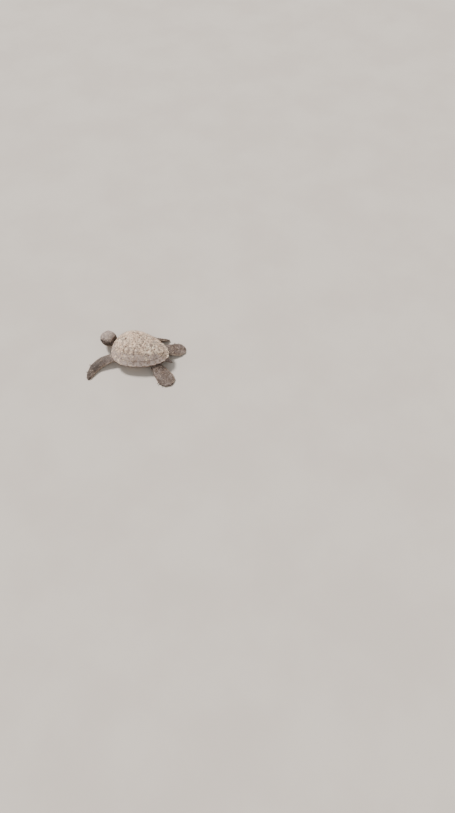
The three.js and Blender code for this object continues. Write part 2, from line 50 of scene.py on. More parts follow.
SIDES = (("left", 1), ("right", -1))
SEED = 20


# ---------------------------------------------------------------- numbers and noise

def lerp(a, b, t):
    return a + (b - a) * t


def smooth(low, high, value):
    """0 below low, 1 above high, and an even slope between them."""
    t = np.clip((value - low) / (high - low), 0, 1)
    return t * t * (3 - 2 * t)


def hump(distance, width):
    return np.exp(-((distance / width) ** 2))


LATTICE = 32


def noise(points, size, seed=0):
    """Smooth noise from -1 to 1, with bumps of about the given size. Each use has a seed of its own."""
    table = np.random.default_rng(SEED + seed).uniform(-1, 1, (LATTICE,) * 3)
    scaled = np.asarray(points) / size
    low = np.floor(scaled).astype(int)
    part = scaled - low
    part = part * part * (3 - 2 * part)
    total = 0
    for corner in np.ndindex(2, 2, 2):
        at = (low + corner) % LATTICE
        weight = np.prod(np.where(corner, part, 1 - part), axis=-1)
        total = total + weight * table[at[..., 0], at[..., 1], at[..., 2]]
    return total


def crowded(count):
    """Shares from 0 to 1 that lie closer together near both ends. With an odd count one is the middle."""
    even = np.linspace(0, 1, count)
    return lerp(even, 0.5 - 0.5 * np.cos(np.pi * even), 0.6)


def full_turn(count):
    """Angles once round, in radians."""
    return np.linspace(0, 2 * np.pi, count, endpoint=False)


def unit(vector):
    return vector / np.linalg.norm(vector)


# ---------------------------------------------------------------- the shell's form, as in the frame

SHELL_LENGTH, SHELL_WIDTH, DOME_RISE = 45.0, 35.5, 11.0
HALF_LENGTH, HALF_WIDTH = SHELL_LENGTH / 2, SHELL_WIDTH / 2
RIM_HEIGHT, RIM_RISE_FRONT, RIM_RISE_REAR = 6.2, 1.6, 0.8
RIM_FLARE, FLARE_START, RIM_EDGE = 0.9, 0.87, 0.9
EGG_SHIFT, TAPER, FULLNESS, DOME_POWER = 0.1, 0.22, 0.03, 2.5
PLATE, TUCK = 1.2, 0.25
RING_RHO, TRUNK_RHO = 0.85, 0.9


def breadth_at(e):
    return HALF_WIDTH * (1 - TAPER * e + FULLNESS * (4 * e * e - 1))


def shell_point(rho, angle):
    """x and y at rho, from 0 at the crown to 1 at the rim, and an angle round the shell."""
    turn = np.radians(angle)
    shifted = -rho * np.cos(turn)
    e = (1 - np.sqrt(1 - 4 * EGG_SHIFT * (shifted - EGG_SHIFT))) / (2 * EGG_SHIFT)
    return breadth_at(e) * rho * np.sin(turn), HALF_LENGTH * e


def along(y, most=1.3):
    """How far a place is towards the rear, or if negative the front, as a share of half the length."""
    return np.clip(y / HALF_LENGTH, -most, most)


def egg(e):
    """The same share, shifted so that the shell's outline is widest ahead of its middle."""
    return e + EGG_SHIFT * (1 - e * e)


def rho_at(x, y):
    e = along(y)
    return np.hypot(x / breadth_at(e), egg(e))


def angle_at(x, y):
    """The angle round the shell, from 0 to 180 on either side."""
    return np.degrees(np.arctan2(np.abs(x), -y))


def rim_height(y):
    e = along(y, 1.1)
    return RIM_HEIGHT + RIM_RISE_FRONT * np.maximum(0, -e) ** 2 + RIM_RISE_REAR * np.maximum(0, e) ** 2


def dome_height(x, y):
    rho = np.minimum(rho_at(x, y), 1)
    flare = RIM_FLARE * (np.maximum(0, rho - FLARE_START) / (1 - FLARE_START)) ** 2
    return rim_height(y) + DOME_RISE * (1 - rho ** DOME_POWER) + flare


def under_dome(rho):
    slope = DOME_RISE * DOME_POWER * rho ** (DOME_POWER - 1) / HALF_WIDTH
    return DOME_RISE * (1 - rho ** DOME_POWER) - PLATE * np.hypot(1, slope)


def under_height(x, y):
    """The underside of the carapace, which runs straight out to the thin edge under the marginals."""
    rho = np.minimum(rho_at(x, y), 1)
    outer = lerp(under_dome(RING_RHO), -RIM_EDGE, (rho - RING_RHO) / (1 - RING_RHO))
    return rim_height(y) + np.where(rho < RING_RHO, under_dome(rho), outer)


BELLY_FLAT, BELLY_RIM, BELLY_POWER, BELLY_REACH, BELLY_PLATE = 0.36, 0.97, 1.6, 0.8, 1.0


def belly_height(x, y):
    """The outside of the belly: flat in the middle, and rising to just under the rim."""
    e = along(y)
    across = np.hypot(x / breadth_at(e), BELLY_REACH * egg(e))
    rise = np.maximum(0, across - BELLY_FLAT) / (BELLY_RIM - BELLY_FLAT)
    return (rim_height(y) - RIM_EDGE) * rise ** BELLY_POWER


# ---------------------------------------------------------------- meshes

def grid_faces(rows, columns, start=0, wrap=False):
    """Quads over points stored row by row. With wrap, each row closes on itself."""
    r, c = np.meshgrid(np.arange(rows - 1), np.arange(columns - 1 + wrap), indexing="ij")
    a = start + r * columns + c
    b = start + r * columns + (c + 1) % columns
    return np.stack([a, b, b + columns, a + columns], -1).reshape(-1, 4).tolist()


def fan_faces(ring, centre):
    return [[a, b, centre] for a, b in zip(ring, [*ring[1:], ring[0]])]


def outline_of(grid):
    """The border of a grid of points or numbers, in order."""
    return np.concatenate([grid[0], grid[1:, -1], grid[-1, -2::-1], grid[-2:0:-1, 0]])


def loft(rings):
    """A closed skin through rings of equal count, with a fan at each end."""
    rings = np.asarray(rings, float)
    rows, count, _ = rings.shape
    last = (rows - 1) * count
    vertices = np.concatenate([rings.reshape(-1, 3), [rings[0].mean(0)], [rings[-1].mean(0)]])
    faces = grid_faces(rows, count, wrap=True)
    faces += fan_faces(list(range(count))[::-1], rows * count)
    faces += fan_faces(list(range(last, last + count)), rows * count + 1)
    return vertices, faces


def slab(upper, lower):
    """A closed plate between two grids of points with the same rows and columns."""
    rows, columns, _ = upper.shape
    layer = rows * columns
    vertices = np.concatenate([upper.reshape(-1, 3), lower.reshape(-1, 3)])
    faces = grid_faces(rows, columns)
    faces += [[layer + k for k in face[::-1]] for face in faces]
    edge = outline_of(np.arange(layer).reshape(rows, columns)).tolist()
    faces += [[b, a, a + layer, b + layer] for a, b in zip(edge, edge[1:] + edge[:1])]
    return vertices, faces


def merged(bodies):
    """Several bodies as one. Each has its vertices, its faces and maybe a value for each vertex."""
    vertices, faces, *values = zip(*bodies)
    polygons, start = [], 0
    for points, own in zip(vertices, faces):
        polygons += [[start + k for k in polygon] for polygon in own]
        start += len(points)
    return np.concatenate(vertices), polygons, *(np.concatenate(each) for each in values)


def face_out(mesh):
    """Turns every closed body's faces outwards."""
    work = bmesh.new()
    work.from_mesh(mesh)
    bmesh.ops.recalc_face_normals(work, faces=work.faces)
    work.to_mesh(mesh)
    work.free()


def new_object(name, vertices, faces, scale=MM):
    mesh = bpy.data.meshes.new(name)
    mesh.from_pydata((np.asarray(vertices, float) * scale).tolist(), [], faces)
    mesh.update()
    thing = bpy.data.objects.new(name, mesh)
    bpy.context.scene.collection.objects.link(thing)
    return thing


def values_of(items, name, width, kind=np.float32):
    """A property of all the vertices, edges, triangles or corners of a mesh, one row for each."""
    found = np.empty(len(items) * width, kind)
    items.foreach_get(name, found)
    return found.reshape(-1, width)


def coordinates(mesh):
    return values_of(mesh.vertices, "co", 3).astype(float)


def normals_of(mesh):
    return values_of(mesh.vertex_normals, "vector", 3).astype(float)


def edges_of(mesh):
    return values_of(mesh.edges, "vertices", 2, np.int32)


def set_points(mesh, points):
    mesh.vertices.foreach_set("co", np.asarray(points, np.float32).ravel())
    mesh.update()


def store(mesh, name, values):
    made = mesh.attributes.new(name, "FLOAT", "POINT")
    made.data.foreach_set("value", np.asarray(values, np.float32))


# ---------------------------------------------------------------- pieces and their dust

SHOULDER, SHOULDER_AT_ENDS = 0.6, 0.9
DUST, FRONT_DUST, FLANK_DUST, FAR_DUST = 0.6, 0.09, -0.36, -0.1
DUST_DRIFTS, DRIFT_SIZE = 0.16, 5.0


def smooth_flank(x, y):
    """Where the shell's left flank, from a line along its shoulder down to the rim, holds little sand."""
    shoulder = SHOULDER + (SHOULDER_AT_ENDS - SHOULDER) * (y / HALF_LENGTH) ** 2
    return smooth(0, 5, x) * smooth(-0.04, 0.08, rho_at(x, y) - shoulder)


def dust_drift(points):
    """How much sand lies at a place: most on the front half, least on the smooth left flank."""
    x, y, _ = points.T
    level = DUST + FRONT_DUST * smooth(6, -12, y) + FLANK_DUST * smooth_flank(x, y)
    return level + FAR_DUST * smooth(-9, -15, x) + DUST_DRIFTS * noise(points, DRIFT_SIZE, 81)


def finished(piece, material, slot, *nodes):
    """Shades a piece smooth, gives it its dust and finish, and hides the nodes of the frame that it stands
    for.
    """
    face_out(piece.data)
    piece.data.shade_smooth()
    if "dust" not in piece.data.attributes:
        store(piece.data, "dust", dust_drift(coordinates(piece.data) / MM))
    piece.data.materials.clear()
    piece.data.materials.append(material)
    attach(piece, "root")
    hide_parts(*nodes)
    return piece


def horn_piece(name, body, material, slot, node):
    """A piece of horn from its vertices, its faces and how far each vertex is from an edge."""
    vertices, faces, edge = body
    piece = new_object(name, vertices, faces)
    store(piece.data, "edge", edge)
    return finished(piece, material, slot, node)


# ---------------------------------------------------------------- material tools

class Finish:
    """A material whose nodes are made by short calls. Sizes of patterns are in millimetres."""

    def __init__(self, name):
        self.material = bpy.data.materials.new(name)
        self.material.use_nodes = True
        self.tree = self.material.node_tree
        self.shader = self.tree.nodes["Principled BSDF"]
        self.place = self.node("ShaderNodeTexCoord").outputs["Object"]

    def node(self, kind, inputs=None, **settings):
        made = self.tree.nodes.new(kind)
        for key, value in settings.items():
            setattr(made, key, value)
        for key, value in (inputs or {}).items():
            self.set(made.inputs[key], value)
        return made

    def set(self, socket, value):
        if isinstance(value, bpy.types.NodeSocket):
            self.tree.links.new(value, socket)
        else:
            socket.default_value = value

    def noise(self, size, detail=3.0, roughness=0.55, distortion=0.0, place=None):
        inputs = {"Vector": place or self.place, "Scale": 1 / (size * MM), "Detail": detail,
                  "Roughness": roughness, "Distortion": distortion}
        return self.node("ShaderNodeTexNoise", inputs).outputs["Fac"]

    def math(self, operation, a, b):
        return self.node("ShaderNodeMath", {0: a, 1: b}, operation=operation).outputs[0]

    def plus(self, a, b):
        return self.math("ADD", a, b)

    def times(self, a, b):
        return self.math("MULTIPLY", a, b)

    def span(self, value, low, high, to_low=0.0, to_high=1.0):
        inputs = {"Value": value, "From Min": low, "From Max": high, "To Min": to_low, "To Max": to_high}
        return self.node("ShaderNodeMapRange", inputs, interpolation_type="SMOOTHSTEP").outputs["Result"]

    def mix_numbers(self, share, a, b):
        return self.node("ShaderNodeMix", {0: share, 2: a, 3: b}).outputs[0]

    def mix(self, share, a, b):
        """Mixes two colours, whose sockets on the node are 6 and 7, and the result's is 2."""
        made = self.node("ShaderNodeMix", data_type="RGBA")
        for index, value in ((0, share), (6, a), (7, b)):
            self.set(made.inputs[index], value)
        return made.outputs[2]

    def blend(self, under, over, value, low, high, first=0.0, last=1.0):
        """A colour over another. Its share goes from first to last as the value goes from low to high."""
        return self.mix(self.span(value, low, high, first, last), under, over)

    def ramp(self, value, stops):
        made = self.node("ShaderNodeValToRGB", {"Fac": value})
        elements = made.color_ramp.elements
        while len(elements) < len(stops):
            elements.new(0.5)
        for element, (place, colour) in zip(elements, stops):
            element.position = place
            element.color = colour
        return made.outputs["Color"]

    def stored(self, name):
        return self.node("ShaderNodeAttribute", attribute_name=name).outputs["Fac"]

    def upward(self):
        normal = self.node("ShaderNodeNewGeometry").outputs["Normal"]
        return self.node("ShaderNodeSeparateXYZ", {"Vector": normal}).outputs["Z"]

    def bump(self, height, depth, under=None):
        inputs = {"Height": height, "Strength": 1.0, "Distance": depth * MM}
        if under is not None:
            inputs["Normal"] = under
        return self.node("ShaderNodeBump", inputs).outputs["Normal"]

    def surface(self, **sockets):
        for name, value in sockets.items():
            self.set(self.shader.inputs[name.replace("_", " ")], value)
        return self.material


def rgb(red, green, blue):
    """A colour from its usual 0 to 255 values."""
    def linear(value):
        share = value / 255
        return share / 12.92 if share <= 0.04045 else ((share + 0.055) / 1.055) ** 2.4
    return linear(red), linear(green), linear(blue), 1.0


# ---------------------------------------------------------------- materials

SAND_PALE, SAND_MID, SAND_DARK = rgb(255, 234, 208), rgb(226, 192, 164), rgb(98, 72, 56)
# The second colour darkens the seams and the lines between scales: partly their own dark, partly painted
# shade in these crevices.
FILM, CREVICE_DARK_AND_SHADE = rgb(190, 174, 167), rgb(52, 40, 33)
SAND_HIDES, DUST_ROUGHNESS = 0.92, 0.92


def dusted(finish, colour, roughness, reach, cover, patchy=1.0, veils=(0.6, 0.6)):
    """Dry sand over a colour: a film of dust on all that faces up, and clumps of fine grains. Returns
    the colour, the roughness and the grains' height. A face holds it from where its normal's upward
    part is over reach. cover is how much there is, patchy is how far it gathers in clumps, and the
    veils are how much the film hides where there is little sand and where there is much."""
    up = finish.span(finish.upward(), reach, reach + 0.5)
    clumps, fine = finish.noise(2.1, 4.0, 0.58), finish.noise(0.16, 3.0, 0.7)
    drift = finish.stored("dust")
    depth = finish.plus(finish.times(clumps, patchy), fine)
    depth = finish.plus(depth, finish.times(drift, 0.8))
    depth = finish.plus(depth, cover - 1.15 - patchy / 2)
    held = finish.times(up, finish.span(depth, -0.04, 0.26))
    film = finish.times(up, finish.span(depth, -0.75, 0.05))
    film = finish.times(film, finish.span(drift, 0.2, 0.6, *veils))
    grains = finish.times(finish.noise(0.13, 2.0, 0.6), 0.35)
    blots = finish.times(finish.noise(1.5, 1.5, 0.5), 0.65)
    sand = finish.ramp(finish.plus(grains, blots), [
        (0.39, SAND_DARK), (0.44, SAND_MID), (0.5, SAND_PALE), (0.66, SAND_PALE)])
    shown = finish.mix(film, colour, FILM)
    shown = finish.mix(finish.times(held, SAND_HIDES), shown, sand)
    rough = finish.mix_numbers(film, roughness, DUST_ROUGHNESS)
    lumps = finish.plus(finish.span(blots, 0.26, 0.39), fine)
    return shown, rough, finish.times(held, lumps)


def horn_finish(name, dark, light, cover, reach, roughness=0.5):
    """Keratin of the shell: mottled and wrinkled, paler along its edges, dark in the seams, partly as
    painted shade.
    """
    finish = Finish(name)
    mottle = finish.noise(3.0, 6.0, 0.62, 0.5)
    fine = finish.noise(0.45, 4.0, 0.6)
    edge = finish.stored("edge")
    colour = finish.blend(dark, light, mottle, 0.38, 0.62)
    colour = finish.blend(colour, dark, fine, 0.35, 0.7, 0.0, 0.4)
    colour = finish.blend(colour, light, edge, 0.1, 0.75, 0.4, 0.0)
    # Painted shade, with some real dark, in the seams along each scute's edge.
    colour = finish.blend(colour, CREVICE_DARK_AND_SHADE, edge, 0.0, 0.14, 0.75, 0.0)
    rough = finish.span(fine, 0.3, 0.7, roughness - 0.08, roughness + 0.14)
    colour, rough, height = dusted(finish, colour, rough, reach, cover, 2.6, (0.85, 0.35))
    creases = finish.noise(0.7, 5.0, 0.65, 1.0)
    normal = finish.bump(finish.plus(creases, finish.times(fine, 0.4)), 0.1)
    normal = finish.bump(height, 0.3, normal)
    return finish.surface(Base_Color=colour, Roughness=rough, Normal=normal, Specular_IOR_Level=0.3)


def skin_finish():
    """Scaly skin: each scale has its own tone, the lines between are darker, partly as painted shade in the
    grooves even over the dust, the underside paler.
    """
    finish = Finish("skin")
    border, tone, dark = finish.stored("border"), finish.stored("tone"), finish.stored("dark")
    fine = finish.noise(0.3, 4.0, 0.6)
    colour = finish.blend(rgb(64, 51, 43), rgb(95, 78, 67), tone, 0.0, 1.0)
    colour = finish.blend(colour, rgb(66, 53, 45), finish.noise(4.0, 4.0), 0.4, 0.62, 0.0, 0.6)
    # Darker front blades: partly dark skin, partly painted shade.
    colour = finish.mix(dark, colour, rgb(48, 36, 30))
    colour = finish.blend(colour, rgb(178, 156, 132), finish.stored("pale"), 0.0, 1.0, 0.0, 0.75)
    colour = finish.blend(colour, rgb(58, 45, 37), border, 0.0, 0.15, 0.6, 0.0)
    colour = finish.blend(colour, rgb(64, 50, 41), fine, 0.35, 0.75, 0.0, 0.35)
    rough = finish.span(fine, 0.3, 0.7, 0.46, 0.64)
    colour, rough, height = dusted(finish, colour, rough, 0.3, 0.0)
    # Painted shade in the grooves between scales, laid over the dust.
    colour = finish.blend(colour, CREVICE_DARK_AND_SHADE, border, 0.0, 0.13, 0.42, 0.0)
    normal = finish.bump(finish.span(finish.stored("groove"), 0.0, 0.2), 0.1)
    normal = finish.bump(fine, 0.05, normal)
    normal = finish.bump(height, 0.14, normal)
    return finish.surface(Base_Color=colour, Roughness=rough, Normal=normal, Specular_IOR_Level=0.25)


def eye_finish():
    """A dark wet eye: black pupil, deep brown iris with fine rays, under a clear hard gloss."""
    finish = Finish("eye")
    polar = finish.stored("polar")
    rays = finish.noise(0.5, 4.0, 0.7, 0.6)
    iris = finish.blend(rgb(38, 25, 17), rgb(84, 58, 36), rays, 0.35, 0.7)
    colour = finish.blend(rgb(5, 4, 4), iris, polar, 0.36, 0.41)
    colour = finish.blend(colour, rgb(18, 13, 11), polar, 0.6, 0.72)
    return finish.surface(Base_Color=colour, Roughness=0.3, Specular_IOR_Level=0.08, Coat_Weight=0.8,
                          Coat_Roughness=0.04, Coat_IOR=1.34)


def beak_finish(name, dark, light, cover):
    """Horn of the beak and claws: smoother than the shell, with fine streaks and a paler worn edge."""
    finish = Finish(name)
    stretch = finish.node("ShaderNodeMapping", {"Vector": finish.place, "Scale": (2.2, 1.6, 0.7)})
    streaks = finish.noise(0.34, 5.0, 0.6, 0.2, stretch.outputs["Vector"])
    broad = finish.noise(1.6, 3.0)
    colour = finish.blend(dark, light, broad, 0.35, 0.65)
    colour = finish.blend(colour, dark, streaks, 0.35, 0.7, 0.0, 0.4)
    colour = finish.blend(colour, light, finish.stored("edge"), 0.0, 0.35, 0.5, 0.0)
    rough = finish.span(streaks, 0.3, 0.7, 0.3, 0.48)
    colour, rough, height = dusted(finish, colour, rough, 0.35, cover)
    normal = finish.bump(streaks, 0.035)
    normal = finish.bump(height, 0.1, normal)
    return finish.surface(Base_Color=colour, Roughness=rough, Normal=normal)


def grain_finish():
    """Loose grains of beach sand: each has its own tone, mostly pale quartz."""
    finish = Finish("sand_grains")
    tone = finish.stored("tone")
    colour = finish.ramp(tone, [
        (0.0, rgb(60, 47, 40)), (0.1, rgb(118, 93, 76)), (0.24, rgb(212, 180, 154)),
        (0.6, rgb(250, 224, 199)), (0.93, rgb(255, 242, 224)), (1.0, rgb(210, 164, 140))])
    speck = finish.noise(0.09, 3.0)
    colour = finish.blend(colour, SAND_DARK, speck, 0.35, 0.7, 0.0, 0.25)
    rough = finish.span(speck, 0.3, 0.7, 0.38, 0.62)
    return finish.surface(Base_Color=colour, Roughness=rough, Normal=finish.bump(speck, 0.02))


SCUTE_HORN = horn_finish("scute_horn", rgb(92, 70, 58), rgb(134, 110, 95), 0.36, 0.1)
RIM_HORN = horn_finish("rim_horn", rgb(98, 78, 66), rgb(142, 120, 105), 0.32, 0.0)
BELLY_HORN = horn_finish("belly_horn", rgb(166, 142, 114), rgb(194, 170, 139), 0.0, 0.2, 0.42)
SKIN = skin_finish()
EYE = eye_finish()
BEAK = beak_finish("beak_horn", rgb(50, 39, 32), rgb(92, 74, 60), -0.2)
CLAW = beak_finish("claw_horn", rgb(52, 41, 34), rgb(120, 98, 80), -0.2)
GRAINS = grain_finish()


# ---------------------------------------------------------------- scutes of the carapace

SEAM = 0.04
EDGE_ROLL, EDGE_DROP = 0.42, 0.24
# Where along the midline the seams between the vertebrals lie, and half the vertebrals' width at
# these seams and between them.
VERTEBRAL_ENDS = (-12.2, -5.2, 2.2, 9.4)
VERTEBRAL_HALF = (4.4, 4.6, 4.3, 3.3)
VERTEBRAL_SIDE = (6.6, 7.2, 6.9, 5.8)
V1_FRONT_ANGLE, V5_REAR_ANGLE = 11, 160
COSTAL_SEAM_ANGLES = (18, 39, 66, 97, 129, 160)
KEEL_HEIGHT, KEEL_WIDTH, KEEL_START = 0.8, 1.3, 0.35
COSTAL_KEEL_PLACE, COSTAL_KEEL_SPAN, COSTAL_KEEL_SHARE = 0.34, 9, 0.7
SCUTE_SWELL, SEAM_BOW, SKEW = 0.25, 0.5, 0.78
SCUTE_COLUMNS, SCUTE_ROWS = 61, 45
UNDER_SHARES = (1, 0.7, 0.35)
GROWTH_LINE_AT, GROWTH_LINE_WIDTH, GROWTH_LINE_DEPTH = 0.95, 0.13, 0.07


def keel(offset, along):
    """A keel runs down the middle of the scute and stands highest near its rear edge."""
    return KEEL_HEIGHT * lerp(KEEL_START, 1, along) * hump(offset, KEEL_WIDTH)


def swell(across, along):
    return SCUTE_SWELL * 16 * across * (1 - across) * along * (1 - along)


def inset(share, span):
    margin = SEAM / 2 / span
    return lerp(margin, 1 - margin, share)


def vertebral_sizes():
    front_x, front_y = shell_point(RING_RHO, V1_FRONT_ANGLE)
    rear_x, rear_y = shell_point(RING_RHO, V5_REAR_ANGLE)
    halves = (front_x, *VERTEBRAL_HALF, rear_x)
    sides = (*VERTEBRAL_SIDE, (VERTEBRAL_HALF[3] + rear_x) / 2)
    return halves, sides, (front_y, *VERTEBRAL_ENDS, rear_y)


def ring_y(x, end):
    """Where the ring of marginals begins at a distance from the midline, found by walking round it."""
    stride, steps = 2.6, 8
    angle = np.full(np.shape(x), 0.0 if end < 0 else 180.0)
    for _ in range(steps):
        angle = angle + end * stride * (shell_point(RING_RHO, angle)[0] - np.abs(x))
    return shell_point(RING_RHO, angle)[1]


def vertebral_plan(number):
    halves, sides, ends = vertebral_sizes()
    before, after, widest = halves[number - 1], halves[number], sides[number - 1]

    def bowed(across):
        return SEAM_BOW * (1 - across ** 2) ** 2

    def plan(u, v):
        v = inset(v, ends[number] - ends[number - 1])
        half = np.where(v < 0.5, lerp(before, widest, v * 2), lerp(widest, after, v * 2 - 1))
        across = 2 * u - 1
        start = ring_y(across * before, -1) if number == 1 else ends[number - 1] + bowed(across)
        end = ring_y(across * after, 1) if number == 5 else ends[number] + bowed(across)
        return across * (half - SEAM / 2), lerp(start, end, v)
    return plan


def costal_inner(number):
    """The line that a costal shares with one or two vertebrals, as the corners of their zigzag."""
    halves, sides, ends = vertebral_sizes()
    corners = []
    for i in range(5):
        corners.append((halves[i], ends[i]))
        corners.append((sides[i], (ends[i] + ends[i + 1]) / 2))
    return np.array(corners[:2] if number == 1 else corners[2 * number - 3:2 * number])


def costal_plan(number, side):
    inner = costal_inner(number)
    stops = np.linspace(0, 1, len(inner))
    start, stop = COSTAL_SEAM_ANGLES[number - 1], COSTAL_SEAM_ANGLES[number]

    def between(s, t):
        outer_x, outer_y = shell_point(RING_RHO, lerp(start, stop, s))
        return (lerp(np.interp(s, stops, inner[:, 0]), outer_x, t),
                lerp(np.interp(s, stops, inner[:, 1]), outer_y, t))

    def distance(p, q):
        return np.hypot(p[0] - q[0], p[1] - q[1])

    def plan(u, v):
        s = inset(u, np.maximum(distance(between(0 * v, v), between(0 * v + 1, v)) * SKEW, 0.5))
        t = inset(v, np.maximum(distance(between(u, 0 * u), between(u, 0 * u + 1)) * SKEW, 0.5))
        x, y = between(s, t)
        return side * x, y
    return plan


def nearest_distance(points, others):
    """How far each point is from the nearest of the others."""
    flat = points.reshape(-1, points.shape[-1])
    found = [np.sqrt(((block[:, None] - others) ** 2).sum(-1).min(1)) for block in np.array_split(flat, 12)]
    return np.concatenate(found).reshape(points.shape[:-1])


def rolled(distance, radius, drop):
    """How far an edge of this radius has dropped at a distance in from it."""
    return drop * (1 - np.sqrt(1 - np.clip(1 - distance / radius, 0, 1) ** 2))


def horn_relief(points, edge, seed):
    """The scute's own skin: shallow lumps, fine wrinkles and one growth line inside its edge."""
    lumps = 0.05 * noise(points, 1.5, seed) + 0.03 * noise(points, 0.6, seed + 1)
    line_at = edge - GROWTH_LINE_AT - 0.15 * noise(points, 2.5, seed + 2)
    line = -GROWTH_LINE_DEPTH * hump(line_at, GROWTH_LINE_WIDTH)
    return (lumps + line) * smooth(0.1, 0.5, edge)


def scute(plan, keel_at, seed):
    """A closed scute over its plan, with rolled edges, and with a few rings of points underneath."""
    u, v = np.meshgrid(crowded(SCUTE_COLUMNS), crowded(SCUTE_ROWS))
    x, y = plan(u, v)
    flat = np.stack([x, y], -1)
    rim = outline_of(flat)
    edge = nearest_distance(flat, rim)
    top = dome_height(x, y) + keel_at(x, u, v) * smooth(-0.3, 0.5, edge) + swell(u, v)
    top = top - rolled(edge, EDGE_ROLL, EDGE_DROP)
    points = np.stack([x, y, top], -1)
    points[..., 2] += horn_relief(points, edge, seed)
    faces = grid_faces(SCUTE_ROWS, SCUTE_COLUMNS)
    vertices = [points.reshape(-1, 3)]
    index = np.arange(points.shape[0] * points.shape[1]).reshape(points.shape[:2])
    ring = outline_of(index).tolist()
    middle = rim.mean(0)
    start = index.size
    for share in UNDER_SHARES:
        spot = lerp(middle, rim, share)
        vertices.append(np.column_stack([spot, under_height(*spot.T)]))
        below = list(range(start, start + len(rim)))
        faces += [[a, b, d, c] for a, b, c, d in
                  zip(ring, ring[1:] + ring[:1], below, below[1:] + below[:1])]
        ring = below
        start += len(rim)
    vertices.append([[*middle, under_height(*middle)]])
    faces += fan_faces(ring, start)
    vertices = np.concatenate(vertices)
    return vertices, faces, np.pad(edge.ravel(), (0, len(vertices) - edge.size))


def vertebral_keel(x, _, v):
    return keel(x, v)


def costal_keel(_, u, v):
    """The lower keel along a costal, whose u runs to the rear and v out from the vertebrals."""
    return COSTAL_KEEL_SHARE * keel((v - COSTAL_KEEL_PLACE) * COSTAL_KEEL_SPAN, u)


def build_scutes():
    """Five vertebral scutes, and five costal scutes on each side."""
    bodies = {}
    for number in range(1, 6):
        bodies[f"vertebral_{number}"] = scute(vertebral_plan(number), vertebral_keel, number)
    for name, side in SIDES:
        for number in range(1, 6):
            body = scute(costal_plan(number, side), costal_keel, 10 * number + side)
            bodies[f"costal_{name}_{number}"] = body
    return [horn_piece(f"horn_{name}", body, SCUTE_HORN, "carapace", name.replace("_", "_scute_", 1))
            for name, body in bodies.items()]


# ---------------------------------------------------------------- the rim

MARGINALS, NUCHAL_ANGLE, RIM_SEAM_ANGLE = 12, 15, 0.07
SERRATION, RIM_INNER, RIM_ROUND, RIM_THICK = 0.024, RING_RHO + 0.003, 0.012, 0.95
RIM_LEAN, NUCHAL_SERRATION, FRONT_SERRATION, CORNER_ROUND = 2.6, 0.002, 0.35, 0.007
RIM_PHASES, NUCHAL_PHASES, RIM_TOP, RIM_NOSE, RIM_UNDER = 25, 41, 20, 9, 7
RIM_ROLL, RIM_DROP, RIM_SWELL = 0.35, 0.16, 0.12


def leaned(rho, angle):
    """The angle at a place on the ring, whose seams lean back towards the outer edge."""
    return angle + RIM_LEAN * np.sin(np.radians(angle)) * (rho - RIM_INNER) / (1 - RIM_INNER)


def rim_body(start, stop, side, seed, steps=RIM_PHASES, stepped=True):
    """One scute of the rim, a wedge out to the thin edge, as closed rings of its top, edge and
    underside. The rear outer corner of a stepped one stands proud."""
    phase = crowded(steps)[:, None]
    angle = lerp(start, stop, phase)
    length = np.hypot(*(np.subtract(shell_point(1, stop), shell_point(1, start))))
    end = np.minimum(phase, 1 - phase) * length
    roll = rolled(end, RIM_ROLL, 1.0)
    teeth = SERRATION * lerp(FRONT_SERRATION, 1, smooth(40, 140, (start + stop) / 2))
    teeth = teeth if stepped else NUCHAL_SERRATION
    reach = 1 - teeth * (1 - phase) ** 1.5 - CORNER_ROUND * roll

    def place(rho):
        return shell_point(rho, leaned(rho, angle))

    share = crowded(RIM_TOP)[None, :]
    top_rho = lerp(RIM_INNER, reach - RIM_ROUND, share)
    x, y = place(top_rho)
    inner = (top_rho - RIM_INNER) * HALF_WIDTH
    z = dome_height(x, y) - rolled(inner, EDGE_ROLL, EDGE_DROP) - RIM_DROP * roll
    z = z + RIM_SWELL * 4 * phase * (1 - phase) * smooth(0, 0.5, share)
    top = np.stack([side * x, y, z], -1)
    edge = np.minimum(np.minimum(inner, end), 2.0)
    top[..., 2] += horn_relief(top, edge, seed)
    inward = np.linspace(0, 1, RIM_UNDER)[None, :]
    low_rho = lerp(reach - RIM_ROUND, RIM_INNER, inward)
    low_x, low_y = place(low_rho)
    low_z = under_height(low_x, low_y) + 0.5 * RIM_DROP * roll
    low_z = lerp(low_z, top[:, -1:, 2] - RIM_THICK, smooth(0.75, 0, inward))
    low = np.stack([side * low_x, low_y, low_z], -1)
    turn = np.linspace(90, -90, RIM_NOSE + 2)[1:-1][None, :]
    nose_rho = reach - RIM_ROUND * (1 - np.cos(np.radians(turn)))
    nose_x, nose_y = place(nose_rho)
    middle = (top[:, -1:, 2] + low[:, :1, 2]) / 2
    nose_z = middle + (top[:, -1:, 2] - middle) * np.sin(np.radians(turn))
    nose = np.stack([side * nose_x, nose_y, nose_z], -1)
    rings = np.concatenate([top, nose, low], 1)
    edges = np.zeros(rings.shape[:2])
    edges[:, :RIM_TOP] = edge
    edges[:, RIM_TOP:RIM_TOP + RIM_NOSE] = np.minimum(end, 0.6)
    vertices, faces = loft(rings)
    return vertices, faces, np.append(edges.ravel(), [0, 0])


